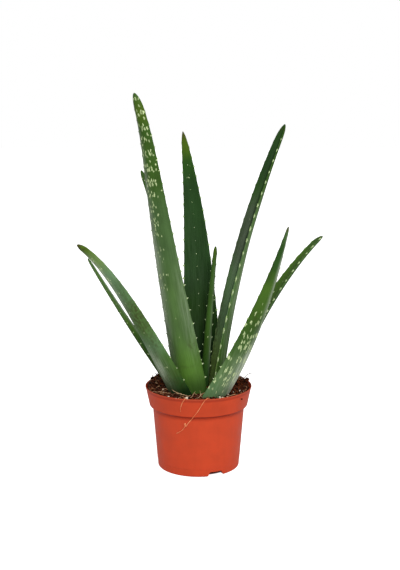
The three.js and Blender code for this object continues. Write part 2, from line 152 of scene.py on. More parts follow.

# What each leaf's skin shows. outer and inner: greens along the face, at shares of the length; most of
# the darker greens low on the leaves are painted shade, where the leaves meet the soil and shade each
# other. Flecks, the bloom with its painted sheen, and bruising with its painted shade are patches:
# middle (share of the length, share across), half sizes, strength, and the face where it is on one
# only; a bruise's half sizes are in millimetres. teeth: size of its teeth. stretch: how long their pale
# feet run along the margin. fold_shade: strength of a line of painted shade beside the near margin,
# where it folds. gloss: how much the waxy skin shines. fleck: width and length of the cell in which
# one fleck lies, in millimetres. fade: share by which the teeth are smaller at the tip.
LOOK_DEFAULTS = dict(wax_and_sheen=(), bruises_and_shade=(), stretch=1, fold_shade=0, fleck=(2.0, 6.0), fade=0.45)
LEAF_LOOKS = {
    "leaf_young": dict(
        outer=((0.05, "ivy"), (0.3, "moss"), (0.55, "fern"), (0.85, "fern"), (1, "olive")),
        inner=((0.1, "heart"), (0.6, "ivy"), (1, "straw")),
        flecks=[(0.6, 0.3, 0.4, 0.8, 0.07)], wax_and_sheen=[(0.6, 0.8, 0.35, 0.4, 0.16), (0.28, 0.95, 0.16, 0.3, 0.2)],
        teeth=0.8, stretch=1.8, gloss=0.08, seed=3),
    "leaf_wide_back": dict(
        outer=((0.1, "leek"), (0.7, "leek"), (1, "straw")),
        # Its inner face is dark along most of its length: painted shade from the leaves in front of it.
        inner=((0.12, "shade"), (0.3, "heart"), (0.45, "pine"), (0.76, "pine"), (0.86, "ivy"), (0.94, "olive"),
               (1, "bark")),
        flecks=[(0.8, 0, 0.05, 0.5, 0.2)], wax_and_sheen=[(0.35, 0.1, 0.3, 1.2, 0.025, "inner")], bruises_and_shade=[(0.99, 0, 4, 9, 0.4)],
        teeth=0.9, gloss=0.03, fleck=(1.8, 4.5), seed=5),
    "leaf_tall_behind": dict(
        outer=((0.1, "leek"), (0.8, "leek"), (1, "fern")), inner=((0.1, "ivy"), (0.8, "leek"), (1, "fern")),
        flecks=[(0.6, 0, 0.4, 1, 0.4)], wax_and_sheen=[(0.7, -1, 0.3, 0.4, 0.3)],
        teeth=0.8, gloss=0.1, fleck=(2.0, 5.0), seed=11),
    "leaf_right_long": dict(
        outer=((0.1, "moss"), (0.25, "fern"), (0.45, "leek"), (0.6, "leek"), (0.75, "moss"), (1, "moss")),
        # Its inner face is paler near the base: painted light, standing in for light that passes through the leaf
        # there.
        inner=((0.1, "celery"), (0.3, "frost"), (0.42, "sage"), (0.55, "slate"), (0.66, "slate"), (0.76, "ivy"),
               (0.85, "pine"), (1, "ivy")),
        flecks=[(0.5, 0, 0.5, 0.6, 0.02)],
        wax_and_sheen=[(0.45, -0.65, 0.35, 0.3, 0.27, "outer"), (0.5, 0.0, 0.2, 0.5, 0.12, "inner")],
        bruises_and_shade=[(0.98, 0, 4, 9, 0.5), (0.25, 0.8, 60, 7, 0.7)],
        teeth=1.2, stretch=2.3, fold_shade=0.9, gloss=0.04, seed=17, fade=0.62),
    "leaf_tall_front": dict(
        outer=((0.04, "moss"), (0.1, "grass"), (0.25, "leek"), (0.37, "leek"), (0.5, "reed"), (0.62, "reed"),
               (0.74, "moss"), (0.88, "moss"), (0.94, "olive"), (1, "moss")),
        inner=((0.1, "leek"), (0.5, "leek"), (1, "straw")),
        flecks=[(0.87, 0.1, 0.16, 1.0, 1.0), (0.66, -0.1, 0.1, 0.6, 0.85), (0.5, -0.35, 0.12, 0.5, 0.45),
                (0.36, -0.2, 0.16, 0.5, 0.2)],
        wax_and_sheen=[(0.43, -1, 0.26, 0.55, 0.8), (0.8, -0.7, 0.13, 0.32, 0.22), (0.3, 0.95, 0.16, 0.4, 0.16)],
        # The last patch, at the very base, is painted shadow where the leaf meets the soil.
        bruises_and_shade=[(0.19, 0.75, 5, 3, 0.6), (0.12, 0.2, 0.9, 12, 0.5), (0.02, -0.4, 9, 6, 0.6)],
        teeth=1.0, gloss=0.12, fleck=(2.1, 5.4), seed=23),
    "leaf_right_back": dict(
        outer=((0.1, "moss"), (0.5, "reed"), (0.8, "leek"), (1, "reed")),
        inner=((0.1, "heart"), (0.4, "clover"), (0.85, "clover"), (0.95, "fern"), (1, "olive")),
        flecks=[(0.7, -0.3, 0.3, 0.6, 0.08)], teeth=1.2, stretch=1.6, fold_shade=0.5, gloss=0.04, seed=29),
    "leaf_left_back": dict(
        outer=((0.1, "moss"), (0.9, "leek"), (1, "straw")),
        inner=((0.1, "heart"), (0.35, "ivy"), (0.5, "clover"), (0.65, "leek"), (0.85, "leek"), (1, "reed")),
        flecks=[(0.5, 0, 0.5, 1, 0.12)], wax_and_sheen=[(0.75, -0.4, 0.3, 0.3, 0.45)],
        teeth=0.8, gloss=0.06, seed=31),
    "leaf_left_front": dict(
        outer=((0.05, "shade"), (0.12, "ivy"), (0.17, "moss"), (0.25, "fern"), (0.34, "sage"), (0.46, "leek"),
               (0.55, "leek"), (0.65, "sage"), (0.78, "frost"), (0.87, "pea"), (0.97, "olive"), (1, "bark")),
        inner=((0.1, "fern"), (0.8, "leek"), (1, "straw")),
        flecks=[(0.85, -0.2, 0.1, 0.6, 0.85), (0.7, -0.1, 0.12, 0.45, 0.5), (0.5, 0.1, 0.25, 0.7, 0.15)],
        wax_and_sheen=[(0.68, -0.2, 0.13, 0.4, 0.3), (0.86, -0.2, 0.09, 0.45, 0.45), (0.22, -0.2, 0.1, 0.6, 0.7)],
        # The patch at 0.13 of the length is soil dirt and painted shade at the foot of the leaf.
        bruises_and_shade=[(0.56, 0.8, 14, 5, 0.6), (0.5, 0.1, 12, 8, 0.45), (0.44, 0.6, 10, 5, 0.35), (0.36, 0.7, 8, 4, 0.5),
                 (0.3, 0.3, 6, 3, 0.4), (0.98, 0, 6, 9, 0.8), (0.68, 0.7, 12, 4, 0.3), (0.13, -0.2, 12, 20, 0.5)],
        teeth=0.9, gloss=0.12, fleck=(1.8, 4.4), seed=37),
    "leaf_right_front": dict(
        outer=((0.06, "sage"), (0.2, "leek"), (0.33, "fern"), (0.47, "moss"), (0.56, "clover"), (0.68, "clover"),
               (0.74, "moss"), (0.8, "ivy"), (0.88, "ivy"), (0.96, "reed"), (1, "bark")),
        inner=((0.1, "fern"), (0.8, "grass"), (1, "straw")),
        flecks=[(0.32, -0.05, 0.26, 1.15, 1.15)],
        wax_and_sheen=[(0.2, 0.75, 0.14, 0.7, 1.9), (0.82, 0.55, 0.16, 0.35, 0.8), (0.5, 0.75, 0.14, 0.45, 0.5),
             (0.2, -0.5, 0.12, 0.5, 0.14)],
        bruises_and_shade=[(0.52, -0.5, 6, 5, 0.3)], teeth=1.0, gloss=0.12, fleck=(1.9, 8.0), seed=41),
}

FLECK_BAND = 14.5          # the flecks crowd in bands across the leaf, this far apart
STREAK = 0.9               # width of the fine lengthwise streaks
SPECK = 2.4                # size of the specks that a bruise is made of
MOTTLE = 13.0              # size of the broad patches of lighter and darker green
FACE_SHIFT = 400.0         # moves the patterns of the inner face, so that they differ from the outer's
SEED_SHIFT = 37.0          # moves the patterns of a leaf by this times its seed
# Colours laid on the green: the grey-blue bloom, which also paints a pale sheen along margins; olive-brown bruising,
# which also paints shadow at some bases; the pale flecks; and painted shade beside a folded margin.
WAX_AND_SHEEN, BRUISE_AND_SHADE, FLECK, FOLD_SHADE = "c4cfba", "3a3a1a", "cfe0a6", "0f2208"
FOLD_SHADE_AT, FOLD_SHADE_WIDE = -0.8, 0.13     # share across of the dark line, and its half width
UNEVEN = 0.22              # how far the faces swell and sink, over about 27 mm across and 90 mm along
UNEVEN_WIDE, UNEVEN_LONG, UNEVEN_WAVE = 9, 30, 3.0
BULGE, BULGE_LONG = 0.35, 2.2            # how far the margin swells under a tooth, and its half length
LAST_TOOTH = 0.965                       # share of the length that no tooth stands beyond
TEETH_CLOSER = 0.28                      # share by which they stand closer together at the tip
TOOTH_STRAY, TOOTH_SIZE = 1.2, (0.8, 1.15)              # how far a tooth is out of step, and its size
DOT_STRAY, DOT_SIZE, DOT_SHAPE = 1, (0.45, 0.95), (0.45, 1.3, 1.3)      # the same of a dot

# Dots in a row along a leaf's face: share across (-1 to 1), side, first and last share of the
# length, distance from dot to dot.
DOT_ROWS = {
    "leaf_wide_back": [(0.05, "inner", 0.32, 0.9, 15.0)],
    "leaf_right_back": [(-0.62, "inner", 0.42, 0.97, 15.0)],
    "leaf_left_back": [(0.5, "outer", 0.3, 0.95, 15.0)],
}

# Hairs of coir that hang over the lip: where they come out of the soil, as points, and then their
# bearing and height on the pot's outside.
LONG_START = [(12.5, -50, 91.0), (11.5, -54, 92.6)]
LONG_HAIR = [
    (-81.0, 93.3), (-83.5, 92.0), (-86.6, 86.5), (-89.8, 80.4), (-93.1, 75.5), (-95.7, 72.0), (-98.9, 67.5),
    (-101.8, 64.4), (-103.8, 61.8), (-104.9, 60.2), (-106.1, 60.3), (-107.0, 62.1), (-106.2, 63.2),
    (-105.7, 61.4), (-107.5, 58.0), (-109.2, 56.0), (-112.0, 53.7), (-115.9, 51.4), (-118.5, 50.1),
]
SHORT_START = [(-13, -50, 91.0), (-15, -55.4, 92.9)]
SHORT_HAIR = [(-104.2, 93.2), (-104.7, 92.1), (-107.0, 88.5), (-108.7, 84.2), (-109.6, 80.6), (-109.6, 77.5)]

# Free hairs, as points.
RIGHT_HAIR = [(50, 32, 91), (54.6, 30, 94), (57.4, 30, 96.8), (60.9, 30, 98.2), (66.1, 30, 98.6)]
LEFT_HAIR = [(-57, 3, 91.5), (-60, 1.5, 94), (-68.5, 0, 96.5), (-77.5, 0, 98.6), (-84.5, 0, 99.6)]
# A pale root that lies on the soil in front of the left leaf, and strands that stand up in front.
ROOT_HAIR = [(-31, -24, 95), (-27, -30, 94), (-22.3, -36, 93.2), (-17, -40, 92.8), (-12, -43, 92.4)]
FRONT_HAIRS = [
    [(-9, -48, 91.5), (-6.5, -47.5, 93.5), (-3.5, -46.5, 98.5)], [(-3, -50, 91.5), (0.5, -50, 92.6), (3.5, -49, 96.5)],
    [(4.5, -49, 91.5), (2.8, -49, 94), (1.5, -48, 99.5)], [(-16, -50, 92.5), (-12, -49.5, 93), (-8.5, -49, 95)],
]

# Crumbs in heaps at the left and right, and tufts of strands there: bearing, its spread and how many.
CRUMB_HEAPS = [(146, 15, 60), (26, 10, 30)]
STRAND_TUFTS = [(148, 17, 76), (30, 11, 28)]
LIP_CRUMB = (56.0, 18.5, 3.0)            # x, y and size of the large crumb by the right of the lip
STUCK_CRUMB = (-36.0, 86.2)              # bearing and height of the crumb that sticks to the collar
STUCK_SIZE = (1.365, 1.26, 0.735)        # its half sizes

# Smallest and largest sizes and distances from the axis of what lies on the soil.
CRUMB_SIZE, HEAP_SIZE, PERLITE_SIZE = (0.6, 2.6), (0.9, 2.3), (0.4, 1.1)
HEAP_REACH, TUFT_REACH = (46, 56), (44, 55.5)
STRAND_R, STRAND_LENGTH, TUFT_LENGTH = (0.14, 0.26), (6, 24), (3, 8.5)
STRAND_LIFT = 4.5                        # most that the middle of a lying strand stands up
CRUMB_ROUGH, PERLITE_ROUGH = 0.22, 0.25  # share by which a corner is pushed in or out
LUMP_TILT = 0.9                          # most that a lump is tilted, in radians
LUMP_RISE = 0.25                         # share of its size that its middle lies above the soil

# Perlite that shows at the front, as x, y and size, and the height at which it lies on the crumbs.
PERLITE_LEVEL = 91.8
PERLITE_SEEN = [
    (-39.6, -16.0, 1.3), (-38.4, -29.0, 1.0), (-32.4, -43.5, 1.4), (-12.7, -52.0, 2.1),
    (-8.5, -27.0, 1.0), (23.3, -47.5, 1.4), (26.4, -48.6, 1.8), (-48, 22, 1.0),
]


# ---- Small helpers -------------------------------------------------------------------------------

def linear(code):
    """Turns an sRGB colour, written as six hex digits, to linear light."""
    shares = [int(code[i:i + 2], 16) / 255 for i in (0, 2, 4)]
    return tuple(v / 12.92 if v <= 0.04045 else ((v + 0.055) / 1.055) ** 2.4 for v in shares)


def waves(points, length, seed, count=14):
    """A smooth random value from -1 to 1 at each point: a sum of plane sine waves of about the given
    wavelength, each with its own random direction and phase."""
    random = np.random.default_rng(seed)
    ways = random.normal(size=(count, points.shape[-1]))
    ways /= np.linalg.norm(ways, axis=1, keepdims=True)
    ways *= TURN / (length * random.uniform(0.7, 1.4, (count, 1)))
    phases = random.uniform(0, TURN, count)
    return np.sin(points @ ways.T + phases).sum(-1) / math.sqrt(count) / 1.6


def put_mesh(name, points, faces, material, sharp=None, values=None):
    """Makes one object from corner points in millimetres and lists of corner numbers. values holds
    what the material reads at each corner."""
    mesh = bpy.data.meshes.new(name)
    mesh.from_pydata((np.asarray(points) * MM).tolist(), [], faces)
    mesh.polygons.foreach_set("use_smooth", np.ones(len(mesh.polygons), bool))
    if sharp is not None:
        mesh.set_sharp_from_angle(angle=math.radians(sharp))
    for key, data in (values or {}).items():
        data = np.asarray(data, np.float32)
        kind, field = ("FLOAT", "value") if data.ndim == 1 else ("FLOAT_VECTOR", "vector")
        mesh.attributes.new(key, kind, "POINT").data.foreach_set(field, data.ravel())
    mesh.update()
    piece = bpy.data.objects.new(name, mesh)
    bpy.context.scene.collection.objects.link(piece)
    mesh.materials.append(material)
    return piece


def ring_faces(rows, columns, first=0):
    """Four-sided faces between the rows of a grid whose columns close on themselves."""
    row, column = np.meshgrid(np.arange(rows - 1), np.arange(columns), indexing="ij")
    here = row * columns + column
    beside = row * columns + (column + 1) % columns
    faces = np.stack([here, beside, beside + columns, here + columns], -1)
    return (faces.reshape(-1, 4) + first).tolist()


def fan_faces(columns, ring, pole, flip=False):
    """Three-sided faces that close a ring, which starts at a corner number, onto one pole."""
    here = np.arange(columns)
    beside = (here + 1) % columns
    faces = np.stack([here + ring, beside + ring, np.full(columns, pole)], -1)
    return (faces[:, ::-1] if flip else faces).tolist()


def closed_skin(grid, start, end):
    """Corners and faces of a grid of rings (rows, columns, 3) that is closed by a pole at each end."""
    rows, columns = grid.shape[:2]
    points = np.concatenate([grid.reshape(-1, 3), [start, end]])
    faces = ring_faces(rows, columns)
    faces += fan_faces(columns, 0, rows * columns, flip=True)
    faces += fan_faces(columns, (rows - 1) * columns, rows * columns + 1)
    return points, faces


def many(faces, copies):
    """Repeats a small closed shape: copies (count, corners, 3) are its corner places, one set each."""
    count, corners = copies.shape[:2]
    shifts = np.repeat(np.arange(count) * corners, len(faces))
    return copies.reshape(-1, 3), [[c + int(s) for c in face] for face, s in zip(faces * count, shifts)]


def tube(path, radius, sides=5, taper=0.25):
    """A round section carried along a path (points, 3), thinner at both ends and closed by poles. The
    section stands square to the path's direction, turned to keep one side level."""
    along = np.gradient(path, axis=0)
    along /= np.linalg.norm(along, axis=1, keepdims=True)
    level = np.cross(along, [0.13, 0.21, 0.97])
    level /= np.linalg.norm(level, axis=1, keepdims=True)
    square = np.cross(along, level)
    share = np.linspace(0, 1, len(path))
    thick = radius * (taper + (1 - taper) * np.sin(np.pi * np.clip(share, 0.04, 0.96)) ** 0.4)
    turn = np.linspace(0, TURN, sides, endpoint=False)
    ring = level[:, None] * np.cos(turn)[:, None] + square[:, None] * np.sin(turn)[:, None]
    grid = path[:, None] + ring * thick[:, None, None]
    return closed_skin(grid, path[0], path[-1])


def joined(shapes):
    """Several (corners, faces) as one."""
    points, faces, first = [], [], 0
    for corners, sides in shapes:
        points.append(corners)
        faces += [[c + first for c in side] for side in sides]
        first += len(corners)
    return np.concatenate(points), faces


def smooth_path(points, steps):
    """A curve through given points: each coordinate is a cubic between them (Catmull-Rom)."""
    p = np.asarray(points, float)
    p = np.concatenate([[2 * p[0] - p[1]], p, [2 * p[-1] - p[-2]]])
    at = np.linspace(0, len(points) - 1, steps)
    low = np.minimum(at.astype(int), len(points) - 2)
    t = (at - low)[:, None]
    a, b, c, d = (p[low + i] for i in range(4))
    return 0.5 * (2 * b + (c - a) * t + (2 * a - 5 * b + 4 * c - d) * t ** 2 + (3 * b - a - 3 * c + d) * t ** 3)


def plug(tree, socket, value):
    """Sets one input to a value, to a colour as six hex digits, or to what comes out of another socket
    or of a node's first one."""
    if isinstance(value, bpy.types.Node):
        value = value.outputs[0]
    elif isinstance(value, str):
        value = linear(value)
    if isinstance(value, bpy.types.NodeSocket):
        tree.links.new(value, socket)
    else:
        socket.default_value = (*value, 1) if socket.type == "RGBA" else value


def ease_through(ramp, stops):
    """Sets a colour ramp's stops: each a place and a colour, as six hex digits or three factors."""
    ramp.interpolation = "EASE"
    for _ in stops[2:]:
        ramp.elements.new(1.0)
    for element, (place, colour) in zip(ramp.elements, stops):
        element.position = place
        element.color = (*(linear(colour) if isinstance(colour, str) else colour), 1)


def add(tree, kind, inputs=None, stops=(), **settings):
    """Adds one node with its settings, its inputs and, for a ramp, its stops."""
    node = tree.nodes.new("ShaderNode" + kind)
    for field, value in settings.items():
        setattr(node, field, value)
    for key, value in (inputs or {}).items():
        plug(tree, node.inputs[key], value)
    if stops:
        ease_through(node.color_ramp, stops)
    return node


def new_material(name):
    """An empty material and its node tree."""
    material = bpy.data.materials.new(name)
    material.use_nodes = True
    material.node_tree.nodes.clear()
    return material, material.node_tree


# ---- Materials -----------------------------------------------------------------------------------

# Object coordinates are in metres, so a Scale of 1 / 0.004 makes a pattern of 4 mm.
# A Map Range node's sockets: 0 is the value, 1 and 2 the ends of the range it comes from, and 3 and 4
# those of the one it goes to. A low end that is left out is 0, and a high end 1.
# A Mix node's sockets for colours. For numbers it mixes from 2 to 3.
FACTOR, FROM, TO, MIXED = 0, 6, 7, 2

# What the pot's colour is multiplied by, at heights in shares of POT_TINT_SPAN, in metres.
POT_TINT_SPAN = 0.1
# On the lip the colour is greyer: dust, and a painted sheen along its edge. On the collar it is a little deeper.
PLAIN, COLLAR_DEEPER, DUST_AND_SHEEN = (1, 1, 1), (0.95, 0.93, 0.86), (0.78, 0.9, 1.1)
# Painted shade: dark in the corner under the collar and fading out below it, and a band under the lip.
UNDER_COLLAR_SHADE, UNDER_LIP_SHADE = (0.55, 0.28, 0.16), (0.72, 0.62, 0.55)
POT_TINTS = [(0.645, PLAIN), (0.69, (0.82, 0.7, 0.6)), (0.7, UNDER_COLLAR_SHADE), (0.714, UNDER_COLLAR_SHADE), (0.722, COLLAR_DEEPER),
             (0.882, COLLAR_DEEPER), (0.9, UNDER_LIP_SHADE), (0.911, UNDER_LIP_SHADE), (0.915, DUST_AND_SHEEN)]


def moulded_polypropylene(name, colour, dark):
    """Terracotta polypropylene, injection moulded. The eye gets a satin, slightly waxy skin with very
    faint upright flow lines and small rubbed patches. It is a little deeper on the collar. Shade is
    painted dark red in the corner under the collar and in a band under the lip, and the lip is painted
    greyer, as dust and as a sheen along its edge."""
    material, tree = new_material(name)
    place = add(tree, "TexCoord").outputs["Object"]
    long = add(tree, "Mapping", {"Vector": place, "Scale": (1 / 0.004, 1 / 0.004, 1 / 0.06)})
    flow = add(tree, "TexNoise", {"Vector": long, "Scale": 1.0, "Detail": 3.0})
    cloud = add(tree, "TexNoise", {"Vector": place, "Scale": 1 / 0.018, "Detail": 4.0})
    grit = add(tree, "TexNoise", {"Vector": place, "Scale": 1 / 0.0012, "Detail": 2.0})
    blend = add(tree, "Math", {0: flow, 1: 0.25, 2: cloud}, operation="MULTIPLY_ADD")
    share = add(tree, "MapRange", {0: blend, 1: 0.45, 2: 0.8})
    hue = add(tree, "Mix", {FACTOR: share, FROM: dark, TO: colour}, data_type="RGBA").outputs[MIXED]
    height = add(tree, "SeparateXYZ", {0: place}).outputs[2]
    level = add(tree, "Math", {0: height, 1: 1 / POT_TINT_SPAN}, operation="MULTIPLY")
    # The ramp paints shade under the collar and under the lip, and a greyer sheen with dust on the lip.
    tints = add(tree, "ValToRGB", {0: level}, POT_TINTS)
    tinted = add(tree, "Mix", {FACTOR: 1.0, FROM: hue, TO: tints}, data_type="RGBA",
                 blend_type="MULTIPLY").outputs[MIXED]
    rough = add(tree, "MapRange", {0: cloud, 1: 0.3, 2: 0.7, 3: 0.42, 4: 0.56})
    bump = add(tree, "Bump", {"Strength": 0.12, "Distance": 0.0002, "Height": grit})
    shader = add(tree, "BsdfPrincipled", {"Base Color": tinted, "Roughness": rough, "Normal": bump, "IOR": 1.49,
                                          "Specular IOR Level": 0.22})
    add(tree, "OutputMaterial", {"Surface": shader})
    return material


def damp_peat(name):
    """Peat and coir, sieved and damp. The eye gets a near-black brown, matt, with reddish and paler
    crumbs of a millimetre or two."""
    material, tree = new_material(name)
    place = add(tree, "TexCoord").outputs["Object"]
    crumbs = add(tree, "TexVoronoi", {"Vector": place, "Scale": 1 / 0.0022}).outputs
    patches = add(tree, "TexNoise", {"Vector": place, "Scale": 1 / 0.007, "Detail": 5.0})
    fine = add(tree, "TexNoise", {"Vector": place, "Scale": 1 / 0.0008, "Detail": 4.0})
    split = add(tree, "SeparateColor", {0: crumbs["Color"]})
    mixed = add(tree, "Math", {0: split, 1: 0.6, 2: patches}, operation="MULTIPLY_ADD")
    tones = add(tree, "ValToRGB", {0: mixed}, [(0.4, "080301"), (0.64, "1e0a03"), (0.88, "3e190a"),
                                              (1.0, "663218")])
    height = add(tree, "Math", {0: crumbs["Distance"], 1: fine}, operation="ADD")
    bump = add(tree, "Bump", {"Strength": 0.8, "Distance": 0.0008, "Height": height})
    shader = add(tree, "BsdfPrincipled", {"Base Color": tones, "Roughness": 0.9, "Specular IOR Level": 0.08,
                                          "Normal": bump})
    add(tree, "OutputMaterial", {"Surface": shader})
    return material


def expanded_perlite(name):
    """Perlite, volcanic glass popped by heat. The eye gets chalky white grains with tiny pits, some
    stained by the peat."""
    material, tree = new_material(name)
    place = add(tree, "TexCoord").outputs["Object"]
    stain = add(tree, "TexNoise", {"Vector": place, "Scale": 1 / 0.003, "Detail": 3.0})
    pits = add(tree, "TexNoise", {"Vector": place, "Scale": 1 / 0.0006, "Detail": 2.0})
    tones = add(tree, "ValToRGB", {0: stain}, [(0.3, "b08a6c"), (0.5, "dfccb4"), (0.7, "f2e8da")])
    bump = add(tree, "Bump", {"Strength": 0.6, "Distance": 0.0003, "Height": pits})
    shader = add(tree, "BsdfPrincipled", {"Base Color": tones, "Roughness": 0.85, "Normal": bump})
    add(tree, "OutputMaterial", {"Surface": shader})
    return material


def coir_strands(name):
    """Coconut fibre in the mix. The eye gets dull thin strands, each of its own colour, most reddish
    brown and some as pale as straw."""
    material, tree = new_material(name)
    tone = add(tree, "Attribute", attribute_name="tone").outputs["Fac"]
    place = add(tree, "TexCoord").outputs["Object"]
    stain = add(tree, "TexNoise", {"Vector": place, "Scale": 1 / 0.004, "Detail": 2.0})
    mixed = add(tree, "Math", {0: stain, 1: 0.3, 2: tone}, operation="MULTIPLY_ADD")
    tones = add(tree, "ValToRGB", {0: mixed}, [(0.1, "301509"), (0.6, "653118"), (0.9, "a0653c"),
                                              (1.0, "d6a87e")])
    shader = add(tree, "BsdfPrincipled", {"Base Color": tones, "Roughness": 0.65, "Specular IOR Level": 0.3})
    add(tree, "OutputMaterial", {"Surface": shader})
    return material


def coir_fibre(name, pale, dark):
    """Coconut fibre, stripped and dried. The eye gets thin dull strands that change from tan to brown
    along their length."""
    material, tree = new_material(name)
    place = add(tree, "TexCoord").outputs["Object"]
    change = add(tree, "TexNoise", {"Vector": place, "Scale": 1 / 0.006, "Detail": 3.0})
    tones = add(tree, "ValToRGB", {0: change}, [(0.35, dark), (0.65, pale)])
    shader = add(tree, "BsdfPrincipled", {"Base Color": tones, "Roughness": 0.65, "Specular IOR Level": 0.3})
    add(tree, "OutputMaterial", {"Surface": shader})
    return material


def scarred_stem(name):
    """Aloe stem, grown, with rings where old leaves were shed. The eye gets a dull olive bark with
    brown rings."""
    material, tree = new_material(name)
    place = add(tree, "TexCoord").outputs["Object"]
    rings = add(tree, "TexWave", {"Vector": place, "Scale": 1 / 0.02, "Distortion": 4.0, "Detail": 2.0},
                bands_direction="Z").outputs[1]
    tones = add(tree, "ValToRGB", {0: rings}, [(0.2, "4c4a26"), (0.6, "76803e"), (1.0, "8a9450")])
    bump = add(tree, "Bump", {"Strength": 0.4, "Distance": 0.0004, "Height": rings})
    shader = add(tree, "BsdfPrincipled", {"Base Color": tones, "Roughness": 0.75, "Normal": bump})
    add(tree, "OutputMaterial", {"Surface": shader})
    return material


def tooth_horn(name):
    """Tooth of an aloe's margin, grown of hard pale tissue. The eye gets a small waxy thorn, green at
    the root, pale along its length and brownish at the very point."""
    material, tree = new_material(name)
    point = add(tree, "Attribute", attribute_name="point").outputs["Fac"]
    tones = add(tree, "ValToRGB", {0: point}, [(0.0, "8fac68"), (0.35, "c6d8a4"), (0.85, "e4edcc"),
                                              (1.0, "c9b48c")])
    shader = add(tree, "BsdfPrincipled", {"Base Color": tones, "Roughness": 0.4, "IOR": 1.45})
    add(tree, "OutputMaterial", {"Surface": shader})
    return material


def fleck_pattern(tree, skin, density, wide, tall):
    """Pale flecks, one at most in each cell of a grid of jittered cells, longer than wide. A cell holds
    a fleck if its random number is below the density times a wave along the leaf, read at the fleck's
    own middle, so that flecks crowd in bands and none is cut off. Each has its own size and paleness."""
    warp = add(tree, "TexNoise", {"Vector": skin, "Scale": 0.4, "Detail": 1.0}, noise_dimensions="2D")
    shift = add(tree, "VectorMath", {0: warp.outputs["Color"], 1: (1.6, 2.4, 0), 2: skin},
                operation="MULTIPLY_ADD")
    cells = add(tree, "Mapping", {"Vector": shift, "Scale": (1 / wide, 1 / tall, 0)})
    fleck = add(tree, "TexVoronoi", {"Vector": cells, "Scale": 1.0, "Randomness": 0.85},
                voronoi_dimensions="2D").outputs
    draws = add(tree, "SeparateColor", {0: fleck["Color"]}).outputs
    middle = add(tree, "SeparateXYZ", {0: fleck["Position"]}).outputs
    phase = add(tree, "Math", {0: middle[1], 1: TURN * tall / FLECK_BAND}, operation="MULTIPLY")
    wave = add(tree, "Math", {0: phase}, operation="SINE")
    crowd = add(tree, "MapRange", {0: wave, 1: -0.5, 2: 0.4, 3: 0.14})
    chance = add(tree, "Math", {0: density, 1: crowd}, operation="MULTIPLY")
    held = add(tree, "Math", {0: draws[0], 1: chance}, operation="LESS_THAN")
    size = add(tree, "MapRange", {0: draws[1], 3: 0.2, 4: 0.38})
    grown = add(tree, "MapRange", {0: density, 3: 0.6, 4: 1.15})
    full = add(tree, "Math", {0: size, 1: grown}, operation="MULTIPLY")
    left = add(tree, "Math", {0: full, 1: fleck["Distance"]}, operation="SUBTRACT")
    soft = add(tree, "MapRange", {0: left, 1: -0.03, 2: 0.1})
    strength = add(tree, "MapRange", {0: draws[2], 3: 0.5})
    kept = add(tree, "Math", {0: strength, 1: held}, operation="MULTIPLY")
    return add(tree, "Math", {0: soft, 1: kept}, operation="MULTIPLY")


def skin_noise(tree, skin, size, squeeze, detail):
    """Noise on the flat skin, of a size across the leaf in millimetres, and longer along the leaf by
    the inverse of the squeeze."""
    cells = add(tree, "Mapping", {"Vector": skin, "Scale": (1 / size, squeeze / size, 1)})
    return add(tree, "TexNoise", {"Vector": cells, "Scale": 1.0, "Detail": detail}, noise_dimensions="2D")


